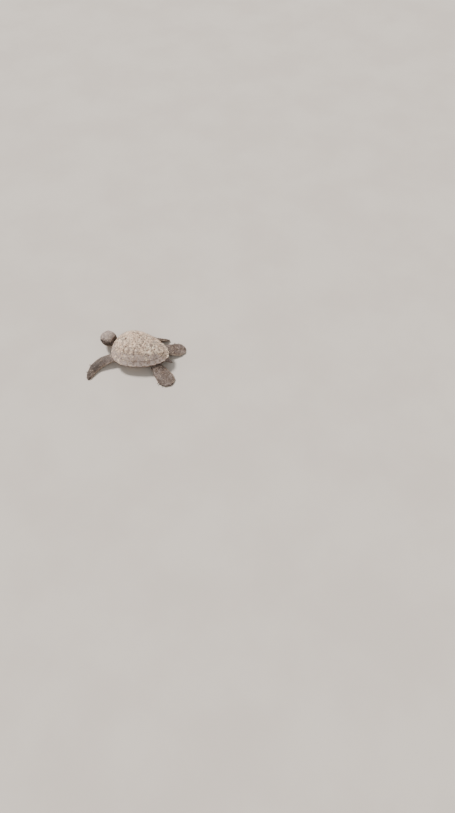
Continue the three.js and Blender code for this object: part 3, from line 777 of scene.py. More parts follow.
def build_rim():
    """The nuchal scute, and a row of twelve marginal scutes on each side."""
    span = (180 - NUCHAL_ANGLE) / MARGINALS
    half = NUCHAL_ANGLE - RIM_SEAM_ANGLE
    nuchal = rim_body(-half, half, 1, 70, NUCHAL_PHASES, False)
    made = [horn_piece("horn_nuchal", nuchal, RIM_HORN, "carapace", "nuchal_scute")]
    for name, side in SIDES:
        starts = [NUCHAL_ANGLE + m * span for m in range(MARGINALS)]
        row = merged([rim_body(start + RIM_SEAM_ANGLE, start + span - RIM_SEAM_ANGLE, side, 71 + m)
                      for m, start in enumerate(starts)])
        made.append(
            horn_piece(f"horn_marginals_{name}", row, RIM_HORN, "carapace", f"marginal_scutes_{name}"))
    return made


# ---------------------------------------------------------------- plastron and bridges

PLASTRON_ENDS, PLASTRON_SIDES = 0.86, 0.62
# Where the seams of the plastron lie along the midline, and the angles at which they meet its edge.
BELLY_SEAMS = (-16.4, -11, -4, 3.4, 10.4)
BELLY_SEAM_ANGLES = (0, 26, 54, 82, 108, 140, 180)
BELLY_KEEL_X, BELLY_KEEL_WIDTH, BELLY_KEEL_HEIGHT = 4.7, 1.0, 0.28
BRIDGE_FROM, BRIDGE_TO, BRIDGE_OUTER = 58, 122, 0.968
INFRAMARGINALS, BRIDGE_HEM, BRIDGE_SINK, BRIDGE_END = 3, 0.75, 0.7, 0.8
TAPER_LONG, TAPER_SHORT = 0.3, 0.1
PLATE_COLUMNS, PLATE_ROWS = 33, 25
TYPICAL_LENGTH, TYPICAL_WIDTH = 6.0, 8.0
PLATE_ROLL, PLATE_DROP, PLATE_LUMPS = 0.4, 0.2, 0.03


def plastron_rho(angle):
    return lerp(PLASTRON_ENDS, PLASTRON_SIDES, np.sin(np.radians(angle)) ** 2)


def belly_plate(corner_at, side, seed, hem=0.0, end_at=None):
    """One plate of the belly between an inner and an outer line, with rolled edges underneath. The
    hem is how far its outer edge turns up to meet the rim. end_at says how near a share of its length
    is to an end of its row, where the hem runs out and then the plate sinks into the skin."""
    u, v = np.meshgrid(crowded(PLATE_COLUMNS), crowded(PLATE_ROWS))
    (inner_x, inner_y), (outer_x, outer_y) = corner_at(inset(v, TYPICAL_LENGTH))
    s = inset(u, TYPICAL_WIDTH)
    x, y = lerp(inner_x, outer_x, s) * side, lerp(inner_y, outer_y, s)
    flat = np.stack([x, y], -1)
    edge = nearest_distance(flat, outline_of(flat))
    keel = BELLY_KEEL_HEIGHT * hump(np.abs(x) - BELLY_KEEL_X, BELLY_KEEL_WIDTH)
    lift = BELLY_KEEL_HEIGHT - keel * smooth(0, 1.2, edge) + rolled(edge, PLATE_ROLL, PLATE_DROP)
    lift = lift + PLATE_LUMPS * (1 + noise(np.stack([x, y, 0 * x], -1), 1.3, seed))
    narrowed, sunk = (end_at(v, TAPER_LONG), end_at(v, TAPER_SHORT)) if end_at else (0, 0)
    lift = np.minimum(lift + BRIDGE_SINK * sunk, BELLY_PLATE - 0.05)
    base = belly_height(x, y) + hem * smooth(0.7, 1, s) * (1 - narrowed)
    low, high = np.stack([x, y, base + lift], -1), np.stack([x, y, base + BELLY_PLATE], -1)
    return *slab(high, low), np.pad(edge.ravel(), (edge.size, 0))


def build_belly():
    """Six pairs of plates under the belly, and a row of inframarginals on each bridge."""
    front, rear = (shell_point(plastron_rho(angle), angle)[1] for angle in (0, 180))
    stops = (front, *BELLY_SEAMS, rear)

    def paired(k):
        def corner_at(v):
            angle = lerp(BELLY_SEAM_ANGLES[k], BELLY_SEAM_ANGLES[k + 1], v)
            return (0 * v, lerp(stops[k], stops[k + 1], v)), shell_point(plastron_rho(angle), angle)
        return corner_at

    def end_of_bridge(k):
        def end_at(v, reach):
            share = (k + v) / INFRAMARGINALS
            return smooth(reach, 0, share) + smooth(1 - reach, 1, share)
        return end_at

    def inframarginal(k):
        def corner_at(v):
            angle = lerp(BRIDGE_FROM, BRIDGE_TO, (k + v) / INFRAMARGINALS)
            inner = shell_point(plastron_rho(angle) + SEAM / HALF_WIDTH, angle)
            outer = lerp(BRIDGE_OUTER, BRIDGE_END, end_of_bridge(k)(v, TAPER_LONG))
            return inner, shell_point(outer, angle)
        return corner_at

    pairs = [belly_plate(paired(k), side, 90) for k in range(len(stops) - 1) for _, side in SIDES]
    horn_piece("horn_plastron", merged(pairs), BELLY_HORN, "plastron", "plastron")
    for name, side in SIDES:
        row = [belly_plate(inframarginal(k), side, 93, BRIDGE_HEM, end_of_bridge(k))
               for k in range(INFRAMARGINALS)]
        horn_piece(f"horn_bridge_{name}", merged(row), BELLY_HORN, "plastron", f"bridge_{name}")


# ---------------------------------------------------------------- limbs, as in the frame

# Each station of a limb holds x, how far forward it is, its height, its chord, its thickness and
# how far its leading edge is rolled down, in degrees.
FRONT_LEFT = [
    (8, 13, 4.6, 6.4, 4.2, 0), (12, 18.9, 4.4, 8, 3.9, 0), (16.5, 25, 3.1, 9.4, 3, 0),
    (22.4, 28.8, 1.7, 8.6, 2.5, 0), (28.6, 29.7, 0.95, 6.6, 2, 0), (32.8, 29.6, 0.7, 4.2, 1.5, 0),
    (34.7, 29.5, 0.6, 1.4, 1, 0)]
FRONT_RIGHT = [
    (-8, 12.5, 4.6, 6.4, 4.2, 0), (-13.4, 13.4, 4.4, 8, 3.9, 10), (-17.2, 9.2, 3.8, 9.2, 3, 30),
    (-18, 2.4, 3, 8.6, 2.5, 42), (-18.3, -5, 2.4, 7.4, 2, 42), (-20.2, -11.4, 1.6, 5.4, 1.5, 34),
    (-21.6, -14.6, 0.9, 1.8, 1, 24)]
HIND_LEFT = [
    (6.4, -11, 4.4, 6.4, 4, 0), (9.4, -16.6, 4, 9, 3.6, 0), (12.7, -21.4, 2.4, 12.2, 2.8, 0),
    (15.5, -26, 1.15, 13.6, 2.1, 0), (17.8, -30.1, 0.8, 10.8, 1.6, 0), (19, -32.4, 0.6, 4, 1, 0)]
HIND_RIGHT = [
    (-6.2, -11, 4.4, 6.4, 4, 0), (-8.8, -16.4, 4, 9, 3.6, 0), (-11.6, -20.6, 2.4, 12, 2.8, 0),
    (-14.4, -24.2, 1.15, 13.2, 2.1, 0), (-17, -27.4, 0.8, 10.4, 1.6, 0), (-18.4, -29, 0.6, 3.8, 1, 0)]
TAIL = [
    (0, -17, 4.7, 5.6, 3.6, 0), (0, -20.6, 4.2, 4.4, 3.2, 0), (0.2, -23.4, 3.3, 2.6, 2.2, 0),
    (0.4, -25.6, 2.6, 0.8, 0.8, 0)]
NECK = [
    (0, 14, 5, 9.5, 3.4, 0), (0, 16.5, 5, 9.5, 3.6, 0), (-0.8, 19.6, 5.3, 9.4, 4.2, 0),
    (-1.6, 22.2, 6, 8.8, 5.8, 0), (-2, 23.7, 6.9, 8.6, 6.9, 0), (-2.2, 26, 7.6, 8.6, 7.2, 0)]

# Each flipper's stations, the side of the path that its leading edge is on, and its claws: where
# they stand along the stations, and their lengths.
FLIPPERS = {
    "front_left": (FRONT_LEFT, -1, ((3.1, 1.3), (4, 0.8))),
    "front_right": (FRONT_RIGHT, 1, ((3.1, 1.3), (4, 0.8))),
    "hind_left": (HIND_LEFT, -1, ((2.9, 1.1), (3.6, 0.8))),
    "hind_right": (HIND_RIGHT, 1, ((2.9, 1.1), (3.6, 0.8)))}
LEADING_EDGE_SWELL, TANGENT_STEP, LIMB_POINTS = 0.35, 1e-4, 48
UP = np.array([0.0, 0.0, 1.0])


def path_point(points, t):
    """A centripetal Catmull-Rom curve through the points."""
    last = len(points) - 1
    scaled = t * last
    i = min(int(scaled), last - 1)
    part = scaled - i
    p1, p2 = points[i], points[i + 1]
    p0 = points[i - 1] if i > 0 else 2 * p1 - p2
    p3 = points[i + 2] if i + 2 <= last else 2 * p2 - p1
    d0, d1, d2 = (np.linalg.norm(b - a) ** 0.5 for a, b in ((p0, p1), (p1, p2), (p2, p3)))
    m1 = ((p1 - p0) / d0 - (p2 - p0) / (d0 + d1) + (p2 - p1) / d1) * d1
    m2 = ((p2 - p1) / d1 - (p3 - p1) / (d1 + d2) + (p3 - p2) / d2) * d1
    c2 = -3 * p1 + 3 * p2 - 2 * m1 - m2
    c3 = 2 * p1 - 2 * p2 + m1 + m2
    return p1 + m1 * part + c2 * part ** 2 + c3 * part ** 3


def limb_frame(stations, lead, t):
    """The middle of a limb at t from root to tip, with the directions and sizes of its section."""
    table = np.array(stations, float)
    points = table[:, :3] * (1, -1, 1)
    scaled = t * (len(table) - 1)
    i = min(int(scaled), len(table) - 2)
    chord, thick, roll = lerp(table[i, 3:], table[i + 1, 3:], smooth(0, 1, scaled - i))
    roll = math.radians(roll)
    ahead, behind = min(1, t + TANGENT_STEP), max(0, t - TANGENT_STEP)
    tangent = unit(path_point(points, ahead) - path_point(points, behind))
    level = unit(np.array([-tangent[1], tangent[0], 0]) * lead)
    to_edge = level * math.cos(roll) - UP * math.sin(roll)
    to_back = UP * math.cos(roll) + level * math.sin(roll)
    return path_point(points, t), tangent, to_edge, to_back, chord, thick


def shell_ceiling(x, y):
    """How high flesh may stand: under the carapace, and free again just past its rim."""
    rho = rho_at(x, y)
    return under_height(x, y) + TUCK * smooth(0.96, 0.88, rho) + np.maximum(0, rho - 1) * HALF_LENGTH * 3


def belly_floor(x, y):
    """How low flesh may hang: over the plastron, and down to the floor beside it."""
    inside = smooth(0.05, -0.03, rho_at(x, y) - plastron_rho(angle_at(x, y)))
    return np.maximum(0.02, inside * (belly_height(x, y) + BELLY_PLATE - TUCK))


def blade(stations, lead, steps):
    """Rings of a limb, with t and the angle round its section for each point."""
    around = full_turn(LIMB_POINTS)
    along = np.cos(around)[:, None]
    rise = (np.sin(around) * (1 + LEADING_EDGE_SWELL * np.cos(around)))[:, None]
    rings = []
    for t in np.linspace(0, 1, steps):
        centre, _, to_edge, to_back, chord, thick = limb_frame(stations, lead, t)
        ring = centre + along * to_edge * chord / 2 + rise * to_back * thick / 2
        ring[:, 2] = np.minimum(ring[:, 2], shell_ceiling(ring[:, 0], ring[:, 1]))
        ring[:, 2] = np.maximum(ring[:, 2], belly_floor(ring[:, 0], ring[:, 1]))
        rings.append(ring)
    t = np.repeat(np.linspace(0, 1, steps), LIMB_POINTS)
    return np.array(rings), t, np.tile(around, steps)


# ---------------------------------------------------------------- head

HEAD_LENGTH, HEAD_WIDTH, HEAD_CROWN, HEAD_CHIN = 12.0, 12.3, 5.2, 4.7
HEAD_AT, HEAD_TURN = (-2.0, -23.8, 8.0), math.radians(-6)
SQUARENESS, NAPE_START, SNOUT_DROP, SNOUT_NARROWED = 2.35, 0.64, 1.1, 0.13
EYE_SHARE, EYE_RISE, EYE_INSET, EYE_RADIUS = 0.4, 1.5, 1.75, 1.9
# Shares behind the snout by which the head has its full width, rise, fall and height, how much it
# shrinks at the nape in the first three, and where the beak ends.
FULL_WIDTH, FULL_RISE, FULL_FALL, FULL_HEIGHT = 0.68, 0.55, 0.7, 0.35
NAPE_WIDTH, NAPE_RISE, NAPE_FALL = 0.28, 0.4, 0.12
BEAK_BACK = 0.6
# Heights of lines along the side of the head at the snout's tip, and how steeply they rise behind it.
MOUTH_AT, MOUTH_RISE = -1.9, 0.1
BEAK_TOP_AT, BEAK_TOP_RISE = 0.9, -0.27
BEAK_FOOT_AT, BEAK_FOOT_RISE = -3.3, 0.25


def rounded(share, power, root):
    """From 0 steeply up to 1, which it reaches at a share of 1."""
    return (1 - (1 - np.minimum(share, 1)) ** power) ** root


def head_section(s):
    """Half width, rise, fall and drop of the head's section at a share s behind the snout."""
    nape = (np.maximum(0, s - NAPE_START) / (1 - NAPE_START)) ** 2
    side = HEAD_WIDTH / 2 * rounded(s / FULL_WIDTH, 2, 0.68) * (1 - NAPE_WIDTH * nape)
    side = side * (1 - SNOUT_NARROWED * smooth(0.38, 0.08, s))
    up = HEAD_CROWN * rounded(s / FULL_RISE, 2.4, 0.7) * (1 - NAPE_RISE * nape)
    down = HEAD_CHIN * rounded(s / FULL_FALL, 2, 0.62) * (1 - NAPE_FALL * nape)
    return side, up, down, -SNOUT_DROP * (1 - rounded(s / FULL_HEIGHT, 2, 1))


def head_point(s, turn):
    """A point of the head in its own frame. The turn is 0 at its left, 90 degrees at the crown."""
    side, up, down, drop = head_section(s)
    across, rise = (np.sign(w) * np.abs(w) ** (2 / SQUARENESS) for w in (np.cos(turn), np.sin(turn)))
    z = drop + rise * np.where(rise > 0, up, down)
    return np.stack([across * side, (s - 1) * HEAD_LENGTH + 0 * z, z], -1)


def mouth_line(y):
    return MOUTH_AT + MOUTH_RISE * (y + HEAD_LENGTH)


def beak_top(y):
    return BEAK_TOP_AT + BEAK_TOP_RISE * (y + HEAD_LENGTH)


def beak_foot(y):
    return BEAK_FOOT_AT + BEAK_FOOT_RISE * (y + HEAD_LENGTH)


HEAD_SPIN = np.array([[math.cos(HEAD_TURN), -math.sin(HEAD_TURN), 0],
                      [math.sin(HEAD_TURN), math.cos(HEAD_TURN), 0], [0, 0, 1]])


def from_head(points):
    """Points of the head's own frame, in the turtle's."""
    return np.asarray(points) @ HEAD_SPIN.T + HEAD_AT


def to_head(points):
    return (np.asarray(points) - HEAD_AT) @ HEAD_SPIN


def eye_centre(side):
    x = side * (head_section(EYE_SHARE)[0] - EYE_INSET)
    return np.array([x, (EYE_SHARE - 1) * HEAD_LENGTH, EYE_RISE])


def eye_axes(side):
    """Outwards, towards the snout and upwards at an eye, in the head's frame."""
    out = unit(np.array([side * 1.0, -0.3, 0.2]))
    up = np.array([0.0, 0.12, 1.0])
    up = unit(up - out * (up @ out))
    return out, np.cross(up, out) * side, up


# ---------------------------------------------------------------- the skin

VOXEL = 0.28
TRUNK_SHARES = (0.3, 0.55, 0.75, 0.9, 1)
HIDDEN_DETAIL, HIDDEN_FACTOR = 0.06, 20.0
BRIDGE_MARGIN, DEEP_UNDER_BRIDGE, DEEP_ELSEWHERE = 4, 0.84, 0.75
HEAD_RINGS, HEAD_POINTS, NECK_STEPS, FLIPPER_STEPS, TRUNK_POINTS = 60, 96, 40, 110, 96
HEAD_REACH, EYE_REACH = HEAD_LENGTH * 0.66, 2.75
HEAD_MIDDLE, NAPE, NAPE_REACH = (0, -HEAD_LENGTH / 2, 0), (-1.4, -21, 6), (6.5, 4.5)
ROOT_END = 0.3
HEAD_DUST, TAIL_DUST, ARM_DUST, HIND_DUST = 0.72, 0.36, 0.26, 0.18


def trunk_rings():
    angle = np.linspace(0, 360, TRUNK_POINTS, endpoint=False)
    below, above = [], []
    for share in TRUNK_SHARES:
        x, y = shell_point(share * TRUNK_RHO, angle)
        below.append(np.column_stack([x, y, belly_height(x, y) + BELLY_PLATE - TUCK]))
        above.append(np.column_stack([x, y, under_height(x, y) + TUCK]))
    return np.array(below + above[::-1])


def skin_sources():
    """Every part of the flesh as (name, vertices, faces, t, angle round), before they are one skin."""
    rings = trunk_rings()
    nowhere = np.zeros(rings.shape[0] * rings.shape[1])
    parts = [("trunk", *loft(rings), nowhere, nowhere)]
    limbs = [("neck", NECK, 1, NECK_STEPS), ("tail", TAIL, 1, NECK_STEPS)]
    limbs += [(name, stations, lead, FLIPPER_STEPS) for name, (stations, lead, _) in FLIPPERS.items()]
    for name, stations, lead, steps in limbs:
        rings, t, around = blade(stations, lead, steps)
        parts.append((name, *loft(rings), t, around))
    s = lerp(0.002, 1, np.linspace(0, 1, HEAD_RINGS) ** 1.35)[:, None]
    turn = full_turn(HEAD_POINTS)[None, :]
    rings = from_head(head_point(s + 0 * turn, turn + 0 * s))
    parts.append(("head", *loft(rings), np.repeat(s[:, 0], HEAD_POINTS), np.tile(turn[0], HEAD_RINGS)))
    return parts


def with_modifier(thing, kind, **settings):
    """The mesh that a modifier makes of this object, as a new mesh."""
    modifier = thing.modifiers.new(kind, kind)
    for key, value in settings.items():
        setattr(modifier, key, value)
    graph = bpy.context.evaluated_depsgraph_get()
    mesh = bpy.data.meshes.new_from_object(thing.evaluated_get(graph))
    thing.modifiers.remove(modifier)
    return mesh


PULLS = (0.5, -0.52)


def relaxed(points, edges, rounds, weight=None):
    """Smooths points, or other values in columns, along their edges, by turns in and out, so that
    thin parts keep their size."""
    count = len(points)
    ends = np.concatenate([edges, edges[:, ::-1]])
    valence = np.bincount(ends[:, 0], minlength=count)[:, None]
    weight = 1 if weight is None else weight[:, None]
    for step in range(2 * rounds):
        total = np.stack([np.bincount(ends[:, 0], column[ends[:, 1]], count) for column in points.T], 1)
        points = points + PULLS[step % 2] * weight * (total / np.maximum(valence, 1) - points)
    return points


def hidden_under_shell(points):
    """Points of flesh deep between the plates, where nothing is seen."""
    x, y, z = points.T
    rho, angle = rho_at(x, y), angle_at(x, y)
    bridged = (angle > BRIDGE_FROM + BRIDGE_MARGIN) & (angle < BRIDGE_TO - BRIDGE_MARGIN)
    low = z < belly_height(x, y) + BELLY_PLATE + 0.2
    open_below = low & (rho > plastron_rho(angle) - 0.03) & ~bridged
    deep = rho < np.where(bridged, DEEP_UNDER_BRIDGE, DEEP_ELSEWHERE)
    return deep & (z > belly_height(x, y) - 0.1) & (z < dome_height(x, y)) & ~open_below


def fused_skin():
    """One closed skin round all the flesh, finer on the head and finest at the eyes, in millimetres."""
    sources = skin_sources()
    vertices, faces = merged([part[1:3] for part in sources])
    rough = new_object("rough_skin", vertices, faces, scale=1)
    face_out(rough.data)
    rough.data = with_modifier(rough, "REMESH", mode="VOXEL", voxel_size=VOXEL)
    points = relaxed(coordinates(rough.data), edges_of(rough.data), 3)
    set_points(rough.data, points)
    hidden = hidden_under_shell(points)
    group = rough.vertex_groups.new(name="hidden")
    group.add(np.flatnonzero(hidden).tolist(), 1.0, "REPLACE")
    kept = float(1 - hidden.mean() * (1 - HIDDEN_DETAIL))
    mesh = with_modifier(
        rough, "DECIMATE", ratio=kept, vertex_group="hidden", vertex_group_factor=HIDDEN_FACTOR)
    bpy.data.objects.remove(rough)
    for room in (head_room, eye_room):
        refine(mesh, room(coordinates(mesh)))
        points = coordinates(mesh)
        set_points(mesh, relaxed(points, edges_of(mesh), 2, room(points) * 1.0))
    return mesh, sources


def head_room(points):
    return np.linalg.norm(to_head(points) - HEAD_MIDDLE, axis=1) < HEAD_REACH


def eye_distance(points):
    """How far points are from the centre of the nearer eye."""
    local = to_head(points)
    return np.minimum(*(np.linalg.norm(local - eye_centre(side), axis=1) for _, side in SIDES))


def eye_room(points):
    return eye_distance(points) < EYE_REACH


def refine(mesh, chosen):
    """Splits every edge between chosen points in two."""
    work = bmesh.new()
    work.from_mesh(mesh)
    work.verts.ensure_lookup_table()
    edges = [edge for edge in work.edges if chosen[edge.verts[0].index] and chosen[edge.verts[1].index]]
    bmesh.ops.subdivide_edges(work, edges=edges, cuts=1, use_grid_fill=True)
    work.to_mesh(mesh)
    work.free()


def nearest_source(points, sources):
    """For each point, the part of the flesh it belongs to, with its t and angle round."""
    names, vertices, _, t, around = zip(*sources)
    roots = np.concatenate([own[:len(share)] for own, share in zip(vertices, t)])
    tree = KDTree(len(roots))
    for i, root in enumerate(roots):
        tree.insert(root, i)
    tree.balance()
    found = np.array([tree.find(point)[1] for point in points])
    part = np.repeat(names, [len(share) for share in t])
    return part[found], np.concatenate(t)[found], np.concatenate(around)[found]


# Scales of the head in pairs, as the share behind the snout, the turn from the crown towards a side
# in degrees, and the radius. Those at turn 0 lie on the midline.
HEAD_SCALES = (
    (0.13, 24, 0.75), (0.255, 24, 0.85), (0.20, 0, 0.3), (0.37, 0, 0.7), (0.42, 40, 1.15),
    (0.56, 0, 1.5), (0.70, 30, 1.35), (0.80, 0, 0.9), (0.60, 58, 0.9), (0.90, 22, 0.8),
    (0.58, 78, 0.65), (0.585, 92, 0.6), (0.57, 106, 0.6), (0.70, 70, 0.85), (0.72, 90, 0.8),
    (0.70, 108, 0.8), (0.83, 56, 0.75), (0.84, 78, 0.75), (0.84, 100, 0.75), (0.30, 76, 0.5),
    (0.26, 62, 0.4), (0.42, 122, 0.8), (0.54, 124, 0.8), (0.30, 136, 0.7), (0.67, 126, 0.7),
    (0.06, 40, 0.4))
SCALE_SPACING = {"head": 0.8, "neck": 0.62, "tail": 0.75, "trunk": 1.1, "front": 1.0, "hind": 1.0}
SCALE_HEIGHT = {"head": 0.13, "neck": 0.07, "tail": 0.1, "trunk": 0.0, "front": 0.1, "hind": 0.1}
EDGE_SCALE_STEP, EDGE_SCALE_RADIUS, EDGE_SCALE_AT, EDGE_SCALE_LOWEST = 1.35, 0.62, 0.93, 0.3
SMALL_SCALE_SHARE, SEED_SAMPLE, SCALE_GROOVE = 0.45, 12000, 0.2


def kind_of(name):
    """What sort of part this is: front for both front flippers, and so on."""
    return name.split("_")[0]


def head_seeds():
    """Places and radii of the head's large scales."""
    places, radii = [], []
    for s, off, radius in HEAD_SCALES:
        for side in ((1, -1) if off else (1,)):
            turn = math.pi / 2 - side * math.radians(off)
            places.append(head_point(np.array(s), np.array(turn)))
            radii.append(radius)
    return from_head(places), np.array(radii)


def edge_seeds(stations, lead):
    """A row of large scales along each edge of a flipper."""
    places = []
    for edge in (1, -1):
        last = None
        for t in np.linspace(0.2, 0.99, 200):
            centre, _, to_edge, _, chord, _ = limb_frame(stations, lead, t)
            spot = centre + edge * to_edge * chord / 2 * EDGE_SCALE_AT
            if last is None or np.linalg.norm(spot - last) > EDGE_SCALE_STEP:
                places.append(spot)
                last = spot
    places = np.array(places)
    places[:, 2] = np.maximum(places[:, 2], EDGE_SCALE_LOWEST)
    return places, np.full(len(places), EDGE_SCALE_RADIUS)


def filled_seeds(points, spacing, fixed, radii, rng):
    """Fills the room between fixed scales with small ones that keep their distance."""
    free = np.ones(len(points), bool)
    for place, radius in zip(fixed, radii):
        free &= ((points - place) ** 2).sum(1) > (radius + spacing * SMALL_SCALE_SHARE) ** 2
    chosen = []
    for i in rng.permutation(len(points)):
        if free[i]:
            chosen.append(i)
            free &= ((points - points[i]) ** 2).sum(1) > spacing ** 2
    return points[chosen]


def scale_cells(points, places, radii):
    """Each point's distance from the edge of its scale, and which scale that is."""
    border, owner = np.empty(len(points)), np.empty(len(points), int)
    for block in np.array_split(np.arange(len(points)), max(1, len(points) * len(places) // 4_000_000)):
        away = np.sqrt(((points[block, None] - places) ** 2).sum(-1)) - radii
        nearest = np.argpartition(away, 1, axis=1)[:, :2]
        pair = np.take_along_axis(away, nearest, 1)
        border[block] = np.abs(pair[:, 1] - pair[:, 0]) / 2
        owner[block] = np.take_along_axis(nearest, pair.argmin(1)[:, None], 1)[:, 0]
    return border, owner


def scaled(points, part):
    """The border distance and tone of every point's scale, over the whole skin."""
    rng = np.random.default_rng(SEED)
    border, tone = np.full(len(points), 1.0), np.full(len(points), 0.5)
    for name in sorted(set(part)):
        chosen = part == name
        own = points[chosen]
        spacing = SCALE_SPACING[kind_of(name)]
        if name == "head":
            fixed, radii = head_seeds()
        elif name in FLIPPERS:
            fixed, radii = edge_seeds(*FLIPPERS[name][:2])
        else:
            fixed, radii = np.empty((0, 3)), np.empty(0)
        sample = own[rng.permutation(len(own))[:SEED_SAMPLE]]
        small = filled_seeds(sample, spacing, fixed, radii, rng)
        places = np.concatenate([fixed, small])
        sizes = np.concatenate([radii, np.full(len(small), spacing * SMALL_SCALE_SHARE)])
        border[chosen], owner = scale_cells(own, places, sizes)
        tone[chosen] = rng.uniform(0, 1, len(places))[owner]
    return border, tone


LID_LENGTH, LID_HEIGHT, UPPER_LID, LID_CORNER = 1.6, 1.28, 0.9, 0.22
LID_MARGIN, LID_LIFT, HEAVY_LID, LID_REACH = 0.15, 0.13, 1.5, 2.3
EYE_BED = 0.22


def shape_lids(local):
    """Sinks the skin behind each eyeball and raises lids round it, in the head's frame. r is 1 along
    the opening between the lids, and grows outwards over the folds round them."""
    local = local.copy()
    for _, side in SIDES:
        centre = eye_centre(side)
        out, ahead, up = eye_axes(side)
        q = local - centre
        depth, a, b = q @ out, q @ ahead, q @ up
        lateral = np.hypot(a, b)
        long = a / LID_LENGTH
        height = LID_HEIGHT * np.where(b > 0, UPPER_LID, 1.0)
        tall = b / height / (1 - LID_CORNER * np.minimum(long ** 2, 1))
        r = np.hypot(long, tall)
        near = (depth > 0) & (r < LID_REACH)
        ball = np.sqrt(np.maximum(EYE_RADIUS ** 2 - lateral ** 2, 0))
        reach = lateral / np.maximum(r, 1e-6)
        margin = np.sqrt(np.maximum(EYE_RADIUS ** 2 - reach ** 2, 0)) + LID_MARGIN
        heavy = np.where(b > 0, HEAVY_LID, 1.0)
        lid = margin + LID_LIFT * heavy * hump(r - 1.12, 0.13)
        shaped = lerp(ball - EYE_BED, lid, smooth(0.88, 1.02, r))
        fold = 0.07 * heavy * hump(r - 1.62, 0.12)
        outside = depth + fold - 0.12 * hump(r - 1.42, 0.07) - 0.06 * hump(r - 1.86, 0.07)
        wanted = lerp(shaped, outside, smooth(1.15, 1.5, r))
        local[near] += (np.outer(wanted - depth, out))[near]
    return local


# Swellings and hollows of the head: height, place and width along y, place and width along z, and
# from where to where away from the midplane it comes in.
CHEEK = (0.2, -3.6, 2.4, -1.2, 1.8, 3, 5)
TEMPLE = (-0.16, -4.4, 1.3, 2.2, 1.0, 3, 5)
PINCH = (-0.18, -10.0, 1.2, 1.4, 1.2, 1, 3)
ORBIT_SWELL, ORBIT_WIDTH, BEAK_BED = 0.3, 2.7, 0.34


def head_detail(points):
    """Brows, cheeks, nostrils, the bed of the beak and the corners of the mouth."""
    local = to_head(points)
    x, y, z = local.T
    width = np.abs(x)
    amount = 0.32 * (hump(y + 7.0, 2.3) * hump(z - 3.9, 0.9) * hump(width - 3.9, 1.2))
    for height, at_y, wide_y, at_z, wide_z, start, stop in (CHEEK, TEMPLE, PINCH):
        form = hump(y - at_y, wide_y) * hump(z - at_z, wide_z) * smooth(start, stop, width)
        amount += height * form
    for _, side in SIDES:
        away = np.linalg.norm(local - eye_centre(side) - eye_axes(side)[0] * EYE_RADIUS, axis=1)
        amount += ORBIT_SWELL * hump(away, ORBIT_WIDTH)
    inside = np.minimum.reduce([z - beak_foot(y), beak_top(y) - z, (BEAK_BACK - 1) * HEAD_LENGTH - y])
    amount -= BEAK_BED * smooth(-0.05, 0.22, inside)
    corner = hump(z - mouth_line(y), 0.2) * smooth(-5.2, -4.6, y) * smooth(-3.2, -4.2, y)
    amount -= 0.3 * corner * smooth(2, 3, width)
    jaw_fold = hump(z - mouth_line(y) + 1.3 + 0.1 * (y + 5), 0.22) * smooth(-7.0, -5.5, y)
    amount -= 0.1 * jaw_fold * smooth(-1.0, -2.6, y) * smooth(2, 3, width)
    nostril = np.hypot(width - 0.78, (z - 1.32) * 1.1 + (y + 11.2) * 0.3)
    amount -= 0.42 * hump(nostril, 0.24) * smooth(-9.8, -10.6, y)
    amount += 0.1 * hump(nostril - 0.42, 0.16) * smooth(-9.8, -10.6, y)
    return amount


def neck_folds(points, t):
    """Loose folds that run round the neck."""
    wave = np.sin(t * 44 + 1.6 * noise(points, 3.0, 41))
    return (0.13 * wave + 0.03 * np.sin(t * 110 + 3 * noise(points, 2.0, 42))) * smooth(0.9, 0.7, t)


# The digits of a front and a hind flipper: places across its section, width and height, where along
# it they fan out, begin to show and end, and the phase that the root's folds would reach at the tip.
DIGITS = {
    "front": ((0.55, 0.2, -0.15, -0.5), 0.12, 0.13, (-0.1, 0.7), (0.35, 0.5), (1.0, 0.85), 60),
    "hind": ((0.68, 0.34, 0.0, -0.34, -0.68), 0.11, 0.2, (0.1, 0.75), (0.38, 0.55), (1.02, 0.9), 50)}


def flipper_detail(points, name, t, around):
    """Digits that show under the skin, and folds at the root."""
    places, width, height, fan, begin, end, folding = DIGITS[kind_of(name)]
    chordwise = np.cos(around)
    ridges = sum(hump(chordwise - place * smooth(*fan, t), width) for place in places)
    shown = smooth(*begin, t) * smooth(*end, t) * height
    folds = np.sin(t * folding + 2 * noise(points, 2.5, 51))
    return shown * ridges + 0.09 * folds * smooth(0.42, 0.25, t)


def skin_relief(points, part, t, around, border):
    """How far the skin stands out at each point: its scales, wrinkles, digits, folds and face."""
    pillow = 1 - np.exp(-(border / SCALE_GROOVE) ** 1.5)
    height = np.array([SCALE_HEIGHT[kind_of(name)] for name in part])
    amount = height * (pillow - 1) + 0.02 * noise(points, 0.7, 31)
    for name in FLIPPERS:
        chosen = part == name
        amount[chosen] += flipper_detail(points[chosen], name, t[chosen], around[chosen])
    neck, head = part == "neck", part == "head"
    amount[neck] += neck_folds(points[neck], t[neck])
    amount[head] += head_detail(points[head])
    return amount


